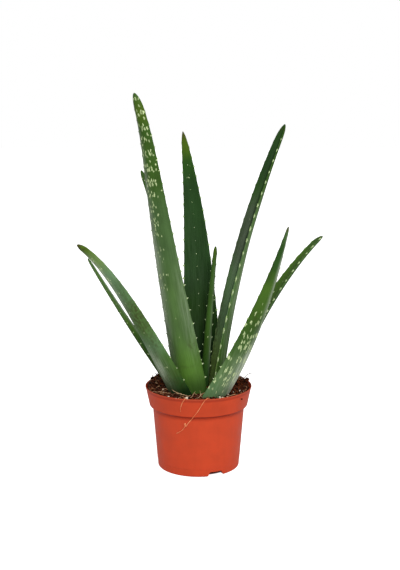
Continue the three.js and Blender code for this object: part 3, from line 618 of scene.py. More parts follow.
def aloe_skin(name, look):
    """Skin of an aloe leaf, grown, with a thin waxy coat. The eye gets a satin green that changes along
    the leaf, with painted shade low on most leaves, fine lengthwise streaks, pale oblong flecks in bands,
    a grey-blue bloom, which also paints a pale sheen along some margins, olive-brown bruised specks,
    which also paint shadow at some bases, and a line of painted shade beside some folded margins."""
    material, tree = new_material(name)
    share = add(tree, "Attribute", attribute_name="along").outputs["Fac"]
    masks = add(tree, "Attribute", attribute_name="masks").outputs["Vector"]
    density, wax_and_sheen, marks = add(tree, "SeparateXYZ", {0: masks}).outputs
    flat = add(tree, "Attribute", attribute_name="skin").outputs["Vector"]
    across, along, face = add(tree, "SeparateXYZ", {0: flat}).outputs
    inside = add(tree, "Math", {0: face, 1: 0.5}, operation="GREATER_THAN")
    moved = add(tree, "Math", {0: inside, 1: FACE_SHIFT, 2: across}, operation="MULTIPLY_ADD")
    tuned = add(tree, "Math", {0: moved, 1: SEED_SHIFT * look["seed"]}, operation="ADD")
    skin = add(tree, "CombineXYZ", {0: tuned, 1: along})

    outer, inner = (add(tree, "ValToRGB", {0: share}, [(at, GREENS[green]) for at, green in look[side]])
                    for side in ("outer", "inner"))
    green = add(tree, "Mix", {FACTOR: inside, FROM: outer, TO: inner}, data_type="RGBA").outputs[MIXED]
    patch = skin_noise(tree, skin, MOTTLE, 0.35, 3.0)
    streak = skin_noise(tree, skin, STREAK, 0.03, 2.0)
    both = add(tree, "Math", {0: streak, 1: 0.4, 2: patch}, operation="MULTIPLY_ADD")
    level = add(tree, "MapRange", {0: both, 1: 0.45, 2: 0.95, 3: 0.8, 4: 1.2})
    colour = add(tree, "VectorMath", {0: green, "Scale": level}, operation="SCALE")

    lines = add(tree, "MapRange", {0: streak, 1: 0.35, 2: 0.65, 3: 0.3, 4: 1.15})
    cover = add(tree, "Math", {0: wax_and_sheen, 1: lines}, operation="MULTIPLY", use_clamp=True)
    rubbed = add(tree, "MapRange", {0: skin_noise(tree, skin, SPECK, 0.6, 2.0), 1: 0.38, 2: 0.6})
    scar_and_shade = add(tree, "Math", {0: marks, 1: rubbed}, operation="MULTIPLY")
    flecks = fleck_pattern(tree, skin, density, *look["fleck"])
    pale = add(tree, "Math", {0: flecks, 1: 0.85}, operation="MULTIPLY")
    fold_shade = add(tree, "Attribute", attribute_name="fold_shade").outputs["Fac"]
    # Lays on the bloom with its painted sheen, the bruising with its painted shade, the flecks, and the painted shade
    # beside the folded margin.
    for amount, laid in ((cover, WAX_AND_SHEEN), (scar_and_shade, BRUISE_AND_SHADE), (pale, FLECK), (fold_shade, FOLD_SHADE)):
        colour = add(tree, "Mix", {FACTOR: amount, FROM: colour, TO: laid}, data_type="RGBA").outputs[MIXED]

    rough = add(tree, "MapRange", {0: cover, 2: 0.6, 3: 0.46, 4: 0.62})
    raised = add(tree, "Math", {0: flecks, 1: 0.5, 2: streak}, operation="MULTIPLY_ADD")
    bump = add(tree, "Bump", {"Strength": 0.25, "Distance": 0.0004, "Height": raised})
    shader = add(tree, "BsdfPrincipled", {"Base Color": colour, "Roughness": rough, "Normal": bump, "IOR": 1.42,
                                          "Specular IOR Level": look["gloss"]})
    add(tree, "OutputMaterial", {"Surface": shader})
    return material


FLOOR_REACH, FLOOR_BELOW = 9000, 0.2      # half the floor's side, and how far it lies under the foot
UNDER_POT = 0.0375, 0.0395                # metres from the axis over which the dark under the pot ends


def studio_white(name):
    """A pale studio surface. The eye gets plain white, but for the dark under the pot: what it adds to
    the light that reaches it is for the view alone, and doesn't light the plant from below."""
    material, tree = new_material(name)
    stage = bpy.context.scene.aloe_stage
    place = add(tree, "TexCoord").outputs["Object"]
    flat = add(tree, "VectorMath", {0: place, 1: (1, 1, 0)}, operation="MULTIPLY")
    reach = add(tree, "VectorMath", {0: flat}, operation="LENGTH").outputs["Value"]
    open_floor = add(tree, "MapRange", {0: reach, 1: UNDER_POT[0], 2: UNDER_POT[1], 4: stage.floor_glow})
    seen = add(tree, "LightPath").outputs["Is Camera Ray"]
    glow = add(tree, "Math", {0: seen, 1: open_floor}, operation="MULTIPLY")
    shader = add(tree, "BsdfPrincipled", {"Base Color": stage.floor_tone, "Roughness": 0.9, "Specular IOR Level": 0.0,
                                          "Emission Color": (1, 1, 1), "Emission Strength": glow})
    add(tree, "OutputMaterial", {"Surface": shader})
    return material


def studio_surround(stage):
    """The world: plain white to the eye. As a light it is an even dim base, with a bright wall at the
    left and right, by the size of the direction's x, and a bright ceiling, by its z."""
    world = bpy.data.worlds.new("studio_surround")
    world.use_nodes = True
    tree = world.node_tree
    tree.nodes.clear()
    way = add(tree, "TexCoord").outputs["Generated"]
    part = add(tree, "SeparateXYZ", {0: way}).outputs
    aside = add(tree, "Math", {0: part[0]}, operation="ABSOLUTE")
    walls = add(tree, "MapRange", {0: aside, 1: 0.35, 2: 0.9, 3: stage.base, 4: stage.walls},
                interpolation_type="SMOOTHSTEP")
    above = add(tree, "MapRange", {0: part[2], 1: 0.1, 2: 0.95, 4: stage.ceiling},
                interpolation_type="SMOOTHSTEP")
    light = add(tree, "Math", {0: walls, 1: above}, operation="ADD")
    seen = add(tree, "LightPath").outputs["Is Camera Ray"]
    level = add(tree, "Mix", {0: seen, 2: light, 3: 1.0}, data_type="FLOAT")
    lit = add(tree, "Background", {"Color": (1, 1, 1), "Strength": level})
    add(tree, "OutputWorld", {"Surface": lit})
    return world


# ---- Pot -----------------------------------------------------------------------------------------

def arc(centre, radius, start, stop, count=5):
    """Points on a circle's arc in the plane of radius and height, from one angle to another."""
    turn = np.radians(np.linspace(start, stop, count))
    return [(centre[0] + radius * math.cos(t), centre[1] + radius * math.sin(t)) for t in turn]


def pot_outside():
    """The pot's outer face as (radius, height), from the middle of the underside up to the lip. Points
    0.05 to 0.6 mm beside a corner hold it crisp under smooth shading."""
    collar_r = POT_RIM_R - LIP_OVERHANG - COLLAR_TAPER
    slope = (BODY_TOP_R - POT_FOOT_R) / SHOULDER_BOTTOM
    line_r = POT_FOOT_R + slope * FOOT_LINE
    lip, edge = POT_HEIGHT - LIP_HEIGHT, COLLAR_BOTTOM + COLLAR_ROUND
    return [
        (RECESS_INNER_R - RECESS_SLOPE - 8, 0), (RECESS_INNER_R - RECESS_SLOPE - 0.2, 0),
        (RECESS_INNER_R - RECESS_SLOPE, 0.1), (RECESS_INNER_R, RECESS_HEIGHT),
        (RECESS_INNER_R + 0.4, RECESS_HEIGHT), ((RECESS_INNER_R + RECESS_OUTER_R) / 2, RECESS_HEIGHT),
        (RECESS_OUTER_R - 0.4, RECESS_HEIGHT), (RECESS_OUTER_R, RECESS_HEIGHT),
        (RECESS_OUTER_R + RECESS_SLOPE, 0.1), (RECESS_OUTER_R + RECESS_SLOPE + 0.3, 0),
        (POT_FOOT_R - 1.8, 0), *arc((POT_FOOT_R - 1.6, 1.6), 1.6, -80, 0, 6),
        (line_r - FOOT_LINE_DEEP - 0.05, FOOT_LINE - 0.5), (line_r - FOOT_LINE_DEEP, FOOT_LINE - 0.15),
        (line_r, FOOT_LINE + 0.15), (line_r + 0.05, FOOT_LINE + 0.6),
        *[(line_r + (BODY_TOP_R - line_r) * k, FOOT_LINE + (SHOULDER_BOTTOM - 0.5 - FOOT_LINE) * k)
          for k in (0.25, 0.5, 0.75, 0.97)],
        (BODY_TOP_R, SHOULDER_BOTTOM - 0.3), (BODY_TOP_R + 0.15, SHOULDER_BOTTOM),
        (collar_r - COLLAR_ROUND - 0.3, COLLAR_BOTTOM - 0.05),
        *arc((collar_r - COLLAR_ROUND, edge), COLLAR_ROUND, -80, 0, 7),
        *[(collar_r + COLLAR_TAPER * k, edge + (lip - edge) * k) for k in (0.05, 0.35, 0.7, 0.97)],
        (POT_RIM_R - LIP_OVERHANG, lip), (POT_RIM_R - 0.1, lip + 0.15), (POT_RIM_R, lip + 0.4),
        *arc((POT_RIM_R - LIP_ROUND, POT_HEIGHT - LIP_ROUND), LIP_ROUND, 0, 90, 5),
    ]


def pot_inside(offset):
    """The pot's inner face as (radius, height) from the lip down to the middle of the floor, moved
    inwards by an offset."""
    wall = POT_WALL + offset
    low, roof = FLOOR + offset, RECESS_HEIGHT + FLOOR + offset
    slope = RECESS_SLOPE + 0.7
    collar_r = POT_RIM_R - LIP_OVERHANG - COLLAR_TAPER
    return [
        (POT_RIM_R - LIP_OVERHANG - wall, POT_HEIGHT - LIP_HEIGHT), (collar_r - wall, COLLAR_BOTTOM + wall),
        (BODY_TOP_R - wall, SHOULDER_BOTTOM + wall), (POT_FOOT_R - 0.3 - wall, low + 2),
        (POT_FOOT_R - 2 - wall, low),
        (RECESS_OUTER_R + slope + offset, low), (RECESS_OUTER_R + offset, roof),
        (RECESS_INNER_R - offset, roof), (RECESS_INNER_R - slope - offset, low),
    ]


def pot_bearings():
    """Bearings of the pot's columns: even all round, and closer together over a few degrees at the
    sides of the notches, which lie about 10 degrees from their middles."""
    even = np.arange(0, 360, 1.5)
    fine = np.concatenate([np.arange(b + s - 3.5, b + s + 3.5, 0.4) for b in NOTCH_BEARINGS for s in (-10, 10)])
    kept = [b for b in even if np.min(np.abs((fine - b + 180) % 360 - 180)) > 0.5]
    return np.radians(np.sort(np.concatenate([kept, fine % 360])))


def notch_height(x, y, grow):
    """Height of the notches at points of the foot. Across a notch it rises on a straight slope from 0
    at the sides to its full height, and it is 0 away from the notches."""
    best = np.zeros_like(x)
    for bearing in NOTCH_BEARINGS:
        turn = math.radians(bearing)
        out = x * math.cos(turn) + y * math.sin(turn)
        aside = np.abs(-x * math.sin(turn) + y * math.cos(turn))
        run = (NOTCH_WIDTH_FOOT - NOTCH_WIDTH_TOP) / 2
        rise = np.clip((NOTCH_WIDTH_FOOT / 2 + grow - aside) / run, 0, 1) * (NOTCH_HEIGHT + grow)
        best = np.maximum(best, np.where(out > RECESS_OUTER_R - 2, rise, 0))
    return best


def clear_of_notches(grid, below, grow):
    """A grid whose corners below a height are raised to the notches, which are larger by grow."""
    low = grid[..., 2] < below
    lift = notch_height(grid[..., 0], grid[..., 1], grow)
    grid[..., 2] = np.where(low, np.maximum(grid[..., 2], lift), grid[..., 2])
    return grid


def turned(profile, bearings):
    """A profile of (radius, height) turned about the axis: x = r cos, y = r sin, one column a bearing."""
    r, z = np.array(profile).T
    x = r[:, None] * np.cos(bearings)
    y = r[:, None] * np.sin(bearings)
    return np.stack([x, y, np.broadcast_to(z[:, None], x.shape)], -1)


def drain_pegs():
    """One closed peg for each drain hole, in the raised ring of the floor."""
    turn = np.linspace(0, TURN, 32, endpoint=False)
    shapes = []
    for i in range(DRAIN_COUNT):
        b = math.radians(DRAIN_BEARING + 360 * i / DRAIN_COUNT)
        middle = np.array([DRAIN_RING_R * math.cos(b), DRAIN_RING_R * math.sin(b), 0])
        ring = np.stack([DRAIN_R * np.cos(turn), DRAIN_R * np.sin(turn), 0 * turn], -1) + middle
        shapes.append(closed_skin(np.stack([ring, ring + PEG_RISE]), middle, middle + PEG_RISE))
    return joined(shapes)


def cut_away(piece, tool):
    """Cuts one closed mesh out of another and keeps the result as the piece's own mesh."""
    cut = piece.modifiers.new("cut", "BOOLEAN")
    cut.operation = "DIFFERENCE"
    cut.solver = "EXACT"
    cut.object = tool
    shape = bpy.data.meshes.new_from_object(piece.evaluated_get(bpy.context.evaluated_depsgraph_get()))
    piece.modifiers.clear()
    piece.data = shape
    bpy.data.objects.remove(tool)


def make_pot(looks):
    """The pot: its outline turned about the axis, raised at the foot to leave the three notches, and
    cut through at the drain holes."""
    bearings = pot_bearings()
    outside = clear_of_notches(turned(pot_outside(), bearings), NOTCH_HEIGHT + 1, 0)
    inside = clear_of_notches(turned(pot_inside(0), bearings), NOTCH_HEIGHT + 2 * FLOOR, FLOOR)
    points, faces = closed_skin(np.concatenate([outside, inside]), (0, 0, 0), (0, 0, FLOOR))
    skin = moulded_polypropylene("moulded_polypropylene", looks.plastic, looks.cloud)
    pot = put_mesh("pot_shell", points, faces, skin)
    pegs = put_mesh("pegs", *drain_pegs(), skin)
    cut_away(pot, pegs)
    pot.data.set_sharp_from_angle(angle=math.radians(38))
    return pot


# ---- Soil ----------------------------------------------------------------------------------------

def soil_height(x, y):
    """Height of the soil's surface: a slight rise to the back and swells of three wavelengths."""
    swell = (np.sin(x / 7.1 + 1.3) * np.cos(y / 6.3) + 0.6 * np.sin((x + 1.7 * y) / 4.7)
             + 0.4 * np.cos((1.9 * x - y) / 3.9 + 0.8))
    return SOIL_LEVEL + SOIL_TILT * y + SOIL_LUMP * swell * 0.5


def soil_relief(x, y, seed):
    """The surface with finer lumps added, of 6, 2.5 and 1.2 mm, a bank along the wall, lower in front,
    and low heaps against the lip."""
    place = np.stack([x, y], -1)
    reach = np.hypot(x, y)
    fine = 0.7 * waves(place, 6.0, seed) + 0.5 * waves(place, 2.5, seed + 1) + 0.3 * waves(place, 1.2, seed + 2)
    fine = fine + SOIL_BANK * (0.75 + 0.35 * y / 58) * np.clip((reach - 42) / 13, 0, 1) ** 1.5
    for hx, hy, wide, height in SOIL_HEAPS:
        fine = fine + height * np.exp(-((x - hx) ** 2 + (y - hy) ** 2) / wide ** 2)
    return soil_height(x, y) + fine


def make_soil(sizes):
    """The soil: the pot's inside with a small gap, closed by the uneven surface on top."""
    bearings = np.radians(np.arange(0, 360, 1.25))
    side = turned(pot_inside(GAP)[:0:-1], bearings)
    side = clear_of_notches(side, NOTCH_HEIGHT + 2 * FLOOR + GAP, FLOOR + GAP)
    reach = np.linspace(SOIL_REACH, 0.8, 60)
    top = turned([(r, 0) for r in reach], bearings)
    top[..., 2] = soil_relief(top[..., 0], top[..., 1], sizes.seed)
    points, faces = closed_skin(np.concatenate([side, top]), (0, 0, FLOOR + GAP), (0, 0, SOIL_LEVEL))
    return put_mesh("soil_bed", points, faces, damp_peat("damp_peat"))


def lump_template():
    """A small ball of 5 rings of 7 corners and two poles: x, y and z from bearing and height."""
    turn = np.linspace(0, TURN, 7, endpoint=False)
    tilt = np.radians([-62, -25, 12, 45, 70])[:, None]
    grid = np.stack([np.cos(tilt) * np.cos(turn), np.cos(tilt) * np.sin(turn), np.sin(tilt) + 0 * turn], -1)
    return closed_skin(grid, (0, 0, -1), (0, 0, 1))


def scattered(random, count, nearest):
    """Random places on the soil, evenly spread over the ring between two distances from the axis."""
    bearing = random.uniform(0, TURN, count)
    reach = np.sqrt(random.uniform(nearest ** 2, (SOIL_REACH - 1) ** 2, count))
    return reach * np.cos(bearing), reach * np.sin(bearing)


def lumps(random, x, y, size, squash, rough, seed, lowest=0):
    """Uneven lumps on the soil. Each is the ball with its corners pushed in or out at random, squashed,
    turned about the vertical and sunk a little, but not below its lowest height."""
    template, faces = lump_template()
    count = len(x)
    push = 1 + rough * random.uniform(-1, 1, (count, len(template), 1))
    shape = template[None] * push * np.stack([np.ones(count), squash, squash * 0.8], -1)[:, None]
    tilt = random.uniform(-LUMP_TILT, LUMP_TILT, count)
    ct, st = np.cos(tilt)[:, None], np.sin(tilt)[:, None]
    shape = np.stack([shape[..., 0] * ct - shape[..., 2] * st, shape[..., 1],
                      shape[..., 0] * st + shape[..., 2] * ct], -1)
    turn = random.uniform(0, TURN, count)
    c, s = np.cos(turn)[:, None], np.sin(turn)[:, None]
    shape = np.stack([shape[..., 0] * c - shape[..., 1] * s, shape[..., 0] * s + shape[..., 1] * c,
                      shape[..., 2]], -1) * size[:, None, None]
    height = np.maximum(soil_relief(x, y, seed) + LUMP_RISE * size, lowest)
    return many(faces, shape + np.stack([x, y, height], -1)[:, None])


def make_crumbs(sizes):
    """Crumbs of peat and bark: many small ones and few large ones, by the cube of a random share, some
    heaped at the left and right, a large one by the lip, and one that sticks to the collar."""
    random = np.random.default_rng(sizes.seed)
    x, y = scattered(random, sizes.crumbs, 18.0)
    size = CRUMB_SIZE[0] + (CRUMB_SIZE[1] - CRUMB_SIZE[0]) * random.uniform(0, 1, sizes.crumbs) ** 3
    bearing = np.radians(np.concatenate([random.normal(*heap) for heap in CRUMB_HEAPS]))
    reach = random.uniform(*HEAP_REACH, len(bearing))
    x = np.concatenate([x, reach * np.cos(bearing), LIP_CRUMB[:1]])
    y = np.concatenate([y, reach * np.sin(bearing), LIP_CRUMB[1:2]])
    size = np.concatenate([size, random.uniform(*HEAP_SIZE, len(bearing)), LIP_CRUMB[2:]])
    squash = random.uniform(0.5, 0.95, len(x))
    heaped = lumps(random, x, y, size, squash, CRUMB_ROUGH, sizes.seed)
    ball, ball_faces = lump_template()
    stuck = ball * STUCK_SIZE + against_wall([STUCK_CRUMB], 0.2), ball_faces
    return put_mesh("soil_crumbs", *joined([heaped, stuck]), damp_peat("peat_crumb"), sharp=50)


def make_perlite(sizes):
    """White grains in the mix: the ones that show at the front, and others scattered."""
    random = np.random.default_rng(sizes.seed + 5)
    x, y = scattered(random, sizes.perlite, 22.0)
    seen = np.array(PERLITE_SEEN)
    x, y = np.concatenate([x, seen[:, 0]]), np.concatenate([y, seen[:, 1]])
    size = np.concatenate([random.uniform(*PERLITE_SIZE, sizes.perlite), seen[:, 2]])
    squash = random.uniform(0.6, 0.95, len(x))
    lowest = np.where(np.arange(len(x)) < sizes.perlite, 0, PERLITE_LEVEL)
    grains = lumps(random, x, y, size, squash, PERLITE_ROUGH, sizes.seed, lowest)
    return put_mesh("soil_perlite", *grains, expanded_perlite("expanded_perlite"), sharp=50)


def make_fibres(sizes):
    """Strands of coir, of thin round section. One that lies on the soil is an arc with its own start,
    heading, curl and lift. One that stands up is a straight line that sags by the square of its share."""
    random = np.random.default_rng(sizes.seed + 9)
    count, steps = sizes.fibres, 9
    x, y = scattered(random, count, 16.0)
    x = np.where(random.uniform(0, 1, count) < 0.3, -np.abs(x), x)
    heading, curl = random.uniform(0, TURN, count), random.normal(0, 1.6, count)
    length = random.uniform(*STRAND_LENGTH, count)
    lift = random.uniform(0, 1, count) ** 3 * STRAND_LIFT
    radius = random.uniform(*STRAND_R, count)
    share = np.linspace(0, 1, steps)
    shapes = []
    for i in range(count):
        way = heading[i] + curl[i] * share
        px = x[i] + np.cumsum(np.cos(way)) * length[i] / steps
        py = y[i] + np.cumsum(np.sin(way)) * length[i] / steps
        fit = np.minimum(1, (SOIL_REACH - 0.6) / np.hypot(px, py))
        px, py = px * fit, py * fit
        pz = soil_relief(px, py, sizes.seed) + 0.3 + lift[i] * np.sin(np.pi * share)
        shapes.append(tube(np.stack([px, py, pz], -1), radius[i], sides=4))
    for x, y, lean, turn, long, thick in zip(*standing_strands(random)):
        out = np.array([math.cos(turn) * math.sin(lean), math.sin(turn) * math.sin(lean), math.cos(lean)])
        foot = np.array([x, y, float(soil_relief(x, y, sizes.seed)) - 0.5])
        sag = np.array([out[0], out[1], -0.6]) * 0.25
        path = foot + long * (out * share[:, None] + sag * share[:, None] ** 2)
        shapes.append(tube(path, thick, sides=4))
    points, faces = joined(shapes)
    left = np.array([-np.sign(shape[0][0, 0]) for shape in shapes])
    tones = np.clip(random.uniform(0, 1, len(shapes)) ** 1.6 + 0.04 * left, 0, 1)
    tone = np.concatenate([np.full(len(shape[0]), value) for shape, value in zip(shapes, tones)])
    return put_mesh("soil_fibres", points, faces, coir_strands("coir_strands"), values={"tone": tone})


def standing_strands(random):
    """Short strands that stand out of the heaps: place, lean, bearing, length and radius of each."""
    bearing = np.radians(np.concatenate([random.normal(*tuft) for tuft in STRAND_TUFTS]))
    count = len(bearing)
    reach = random.uniform(*TUFT_REACH, count)
    turn = bearing + random.normal(0, 1.3, count)
    return (reach * np.cos(bearing), reach * np.sin(bearing), random.uniform(0.3, 1.3, count), turn,
            random.uniform(*TUFT_LENGTH, count), random.uniform(*STRAND_R, count))


def against_wall(route, off):
    """Points at a distance off the pot's outer face, from bearings and heights."""
    bearing, height = np.array(route, float).T
    r, z = np.array(pot_outside()).T
    upper = z > 2
    radius = np.interp(np.minimum(height, POT_HEIGHT), z[upper], r[upper])
    radius = np.where(height > POT_HEIGHT, POT_RIM_R - 1.2 * (height - POT_HEIGHT), radius) + off
    turn = np.radians(bearing)
    return np.stack([radius * np.cos(turn), radius * np.sin(turn), height], -1)


def over_lip(start, route, off=0.5):
    """A hair's points: from the soil over the lip, and down the wall at a distance off it."""
    crossing = against_wall(route[:1], 0) + [0, 0, off]
    return np.concatenate([start, crossing, against_wall(route[1:], off)])


def make_hairs():
    """Single hairs: two hang over the lip against the wall, one stands up at each side, a pale root
    lies on the soil and a few pale strands stand up beside it."""
    warm = [tube(smooth_path(over_lip(LONG_START, LONG_HAIR), 110), 0.5, sides=6),
            tube(smooth_path(over_lip(SHORT_START, SHORT_HAIR), 40), 0.42, sides=6)]
    free = [tube(smooth_path(RIGHT_HAIR, 40), 0.42, taper=0.6), tube(smooth_path(LEFT_HAIR, 40), 0.18)]
    pale = [tube(smooth_path(ROOT_HAIR, 50), 0.42), *(tube(smooth_path(hair, 16), 0.22) for hair in FRONT_HAIRS)]
    return (put_mesh("hair_over_lip", *joined(warm), coir_fibre("coir_hair", "ee9464", "d96e44")),
            put_mesh("hair_free", *joined(free), coir_fibre("dried_hair", "62523f", "463829")),
            put_mesh("hair_pale", *joined(pale), coir_fibre("bleached_hair", "d8b892", "b08864")))


# ---- Stem ----------------------------------------------------------------------------------------

def make_stem():
    """The short stem: a round profile, with shallow rings where old leaves were shed."""
    x, y, foot, top, radius = STEM["x"], STEM["y"], STEM["foot"], STEM["top"], STEM["radius"]
    z = np.linspace(foot + 0.5, top - 0.3, 60)
    share = (z - foot) / (top - foot)
    r = np.interp(z, [foot, foot + 4, foot + 20, top - 8, top - 3, top],
                  radius * np.array([0.4, 0.7, 0.92, 1.0, 0.93, 0.72]))
    r -= 0.35 * np.abs(np.sin(share * 26))
    grid = turned(np.stack([r, z], -1), np.linspace(0, TURN, 48, endpoint=False)) + [x, y, 0]
    points, faces = closed_skin(grid, (x, y, foot), (x, y, top))
    return put_mesh("stem_bark", points, faces, scarred_stem("scarred_stem"))


# ---- Leaves --------------------------------------------------------------------------------------

def leaf_way(leaf, s):
    """Direction of a leaf's midline at shares s of its length: it leans from the vertical towards its
    heading, more or less as s grows."""
    lean = leaf["lean"][0] + (leaf["lean"][1] - leaf["lean"][0]) * s ** leaf["bend"] + leaf["hook"] * s ** HOOK_POWER
    lean, head = np.radians(lean), math.radians(leaf["head"])
    return np.stack([np.sin(lean) * math.cos(head), np.sin(lean) * math.sin(head), np.cos(lean)], -1)


def round_end(s, share):
    """A quarter circle that closes the last share of the length: 1 before it, 0 at the tip."""
    left = np.minimum(1, (1 - s) / share)
    return np.sqrt(np.maximum(0, 1 - (1 - left) ** 2))


def leaf_sections(leaf, s):
    """Place, directions, width, thickness and fold of the section at each share s of the length. The
    midline is the sum of short steps along its direction."""
    steps = (np.arange(MIDLINE_STEPS) + 0.5) / MIDLINE_STEPS
    line = np.cumsum(leaf_way(leaf, steps) * leaf["length"] / MIDLINE_STEPS, axis=0)
    line = np.concatenate([[[0, 0, 0]], line]) + [leaf["x"], leaf["y"], leaf["z"]]
    knots = np.linspace(0, 1, MIDLINE_STEPS + 1)
    place = np.stack([np.interp(s, knots, line[:, k]) for k in range(3)], -1)
    along = leaf_way(leaf, s)
    face = np.radians(leaf["face"][0] + (leaf["face"][1] - leaf["face"][0]) * s)
    across = np.stack([-np.sin(face), np.cos(face), 0 * face], -1)
    across -= along * (across * along).sum(-1, keepdims=True)
    across /= np.linalg.norm(across, axis=-1, keepdims=True)
    inward = np.cross(along, across)
    near = np.maximum(0, 1 - s / NECK_SHARE) ** 2
    width = leaf["width"] * (leaf["tip"] + (1 - leaf["tip"]) * (1 - s) ** leaf["taper"]) * (1 - leaf["neck"] * near)
    thick = leaf["thick"] * (TIP_THICKNESS + (1 - TIP_THICKNESS) * (1 - s) ** THICKNESS_TAPER)
    thick = thick * (1 + BASE_SWELL * near) * round_end(s, 0.7 * leaf["round"])
    width = width * round_end(s, leaf["round"])
    fold = leaf["fold"] * (1 - FOLD_FADE * s) * width
    return place, along, across, inward, width, thick, fold


def leaf_point(cut, turn, swell=0.0):
    """Points of the outline at angles: a lens whose inner face is flatter than the outer one, bent so
    that the margins turn inwards. swell moves them out from the middle of the section."""
    place, _, across, inward, width, thick, fold = cut
    side = np.where(np.sin(turn) > 0, INNER_SHARE, OUTER_SHARE)
    aside = (width / 2 + swell) * np.cos(turn)
    inwards = (thick / 2 + swell) * side * np.sin(turn) + fold * np.cos(turn) ** 2
    return place + across * aside[..., None] + inward * inwards[..., None]


def tooth_shares(leaf, first, spacing):
    """Shares of the length where the teeth of one margin stand, closer together towards the tip."""
    places, at = [], first
    while at < leaf["length"] * LAST_TOOTH:
        places.append(at / leaf["length"])
        at += spacing * (1 - TEETH_CLOSER * at / leaf["length"])
    return np.array(places)


def leaf_named(name):
    """The shape and the look of a leaf."""
    return LEAVES[name], {**LOOK_DEFAULTS, **LEAF_LOOKS[name]}


def make_blade(name, sizes):
    """One leaf's blade: sections along the midline, closer together at the tip, with a slight swelling
    of the margin under each tooth and a very shallow unevenness of the faces."""
    leaf, look = leaf_named(name)
    rows, columns = sizes.rings, sizes.sides
    s = 1 - (1 - np.linspace(0, 1, rows + 1)[:-1]) ** LEAF_SLOW
    turn = np.linspace(0, TURN, columns, endpoint=False)
    cut = tuple(part[:, None] for part in leaf_sections(leaf, s))
    width, thick = cut[4], cut[5]
    flat = np.stack([0.5 * width * np.cos(turn) / UNEVEN_WIDE,
                     (s * leaf["length"])[:, None] / UNEVEN_LONG + 0 * turn, np.sin(turn) + 0 * width], -1)
    uneven = UNEVEN * waves(flat, UNEVEN_WAVE, look["seed"]) * np.minimum(1, thick / 4)
    margins = np.zeros((rows, columns))
    for sign, first in ((1, sizes.first_right), (-1, sizes.first_left)):
        for share in tooth_shares(leaf, first, sizes.tooth_spacing):
            bulge = np.exp(-((s - share) * leaf["length"] / BULGE_LONG) ** 2)[:, None]
            margins += BULGE * bulge * np.maximum(0, sign * np.cos(turn)) ** 14
    grid = leaf_point(cut, turn[None], uneven + margins)
    start = cut[0][0, 0] + cut[3][0, 0] * cut[6][0, 0] / 2
    tip = leaf_sections(leaf, np.array([1.0]))[0][0]
    points, faces = closed_skin(grid, start, tip)
    values = leaf_values(leaf, look, s, turn, width[:, 0])
    return put_mesh(name + "_blade", points, faces, aloe_skin("aloe_skin_" + name[5:], look), values=values)


def leaf_values(leaf, look, s, turn, width):
    """What the skin's material reads at each corner, and at the two poles: the share of the length, the
    place on the skin in millimetres with 0 outside and 1 inside, the masks for flecks, for the bloom with
    its painted sheen and for bruising with its painted shade, and how dark the painted shade beside the
    folded margin is, which falls off as exp(-distance^2)."""
    s, width = s[:, None], width[:, None]
    q = np.cos(turn) + 0 * s
    inner = (np.sin(turn) > 1e-6) + 0 * s

    def patches(listed, power, millimetres=False):
        """Sum of patches: each falls off with its distance from its middle, as a share of its half
        sizes, as exp(-distance^power)."""
        total = np.zeros_like(q)
        for at, aside, long, wide, strength, *face in listed:
            away = (s - at) * (leaf["length"] if millimetres else 1) / long
            off = (q - aside) * (width / 2 if millimetres else 1) / wide
            share = 1 if not face else inner if face[0] == "inner" else 1 - inner
            total += share * strength * np.exp(-np.abs(away) ** power - np.abs(off) ** power)
        return total

    def at_corners(poles, *layers):
        """Layers over the grid as one row a corner, with the rows of the poles after them."""
        grid = np.stack([np.broadcast_to(layer, q.shape).ravel() for layer in layers], -1)
        return np.concatenate([grid, poles]).squeeze()

    masks = patches(look["flecks"], 4), patches(look["wax_and_sheen"], 2), patches(look["bruises_and_shade"], 2, True)
    fold_shade = look["fold_shade"] * inner * np.exp(-((q - FOLD_SHADE_AT) / FOLD_SHADE_WIDE) ** 2)
    return {
        "along": at_corners([[0], [1]], s),
        "skin": at_corners([[0, 0, 0], [0, leaf["length"], 0]], 0.5 * width * q, s * leaf["length"], inner),
        "masks": at_corners([[0, 0, 0], [0, 0, 0]], *masks),
        "fold_shade": at_corners([[0], [0]], fold_shade),
    }


def tooth_template():
    """A thorn as rings of 6 corners that shrink to a point and lean forward. Columns: out of the
    margin, along it, square to the leaf. Its foot runs out along the margin."""
    rise = np.array([-0.55, -0.2, 0.1, 0.4, 0.7, 0.9])
    spread = np.array([2.3, 1.7, 1.0, 0.55, 0.28, 0.12])
    deep = np.array([0.9, 0.75, 0.55, 0.4, 0.24, 0.1])
    turn = np.linspace(0, TURN, 6, endpoint=False)
    forward = 0.45 * np.maximum(rise, 0) ** 1.6
    grid = np.stack([rise[:, None] + 0 * turn, forward[:, None] + spread[:, None] * np.cos(turn) * 0.5,
                     deep[:, None] * np.sin(turn) * 0.5], -1)
    points, faces = closed_skin(grid, (-0.6, 0, 0), (1.0, 0.45, 0))
    return points, faces, np.clip(np.concatenate([np.repeat(rise, 6), [0, 1]]), 0, 1)


def planted(template, foot, axes, size):
    """Copies of a small shape, one at each foot, turned to its own three axes and sized."""
    return foot[:, None] + np.einsum("kc,nca->nka", template, np.stack(axes, 1)) * size[:, None, None]


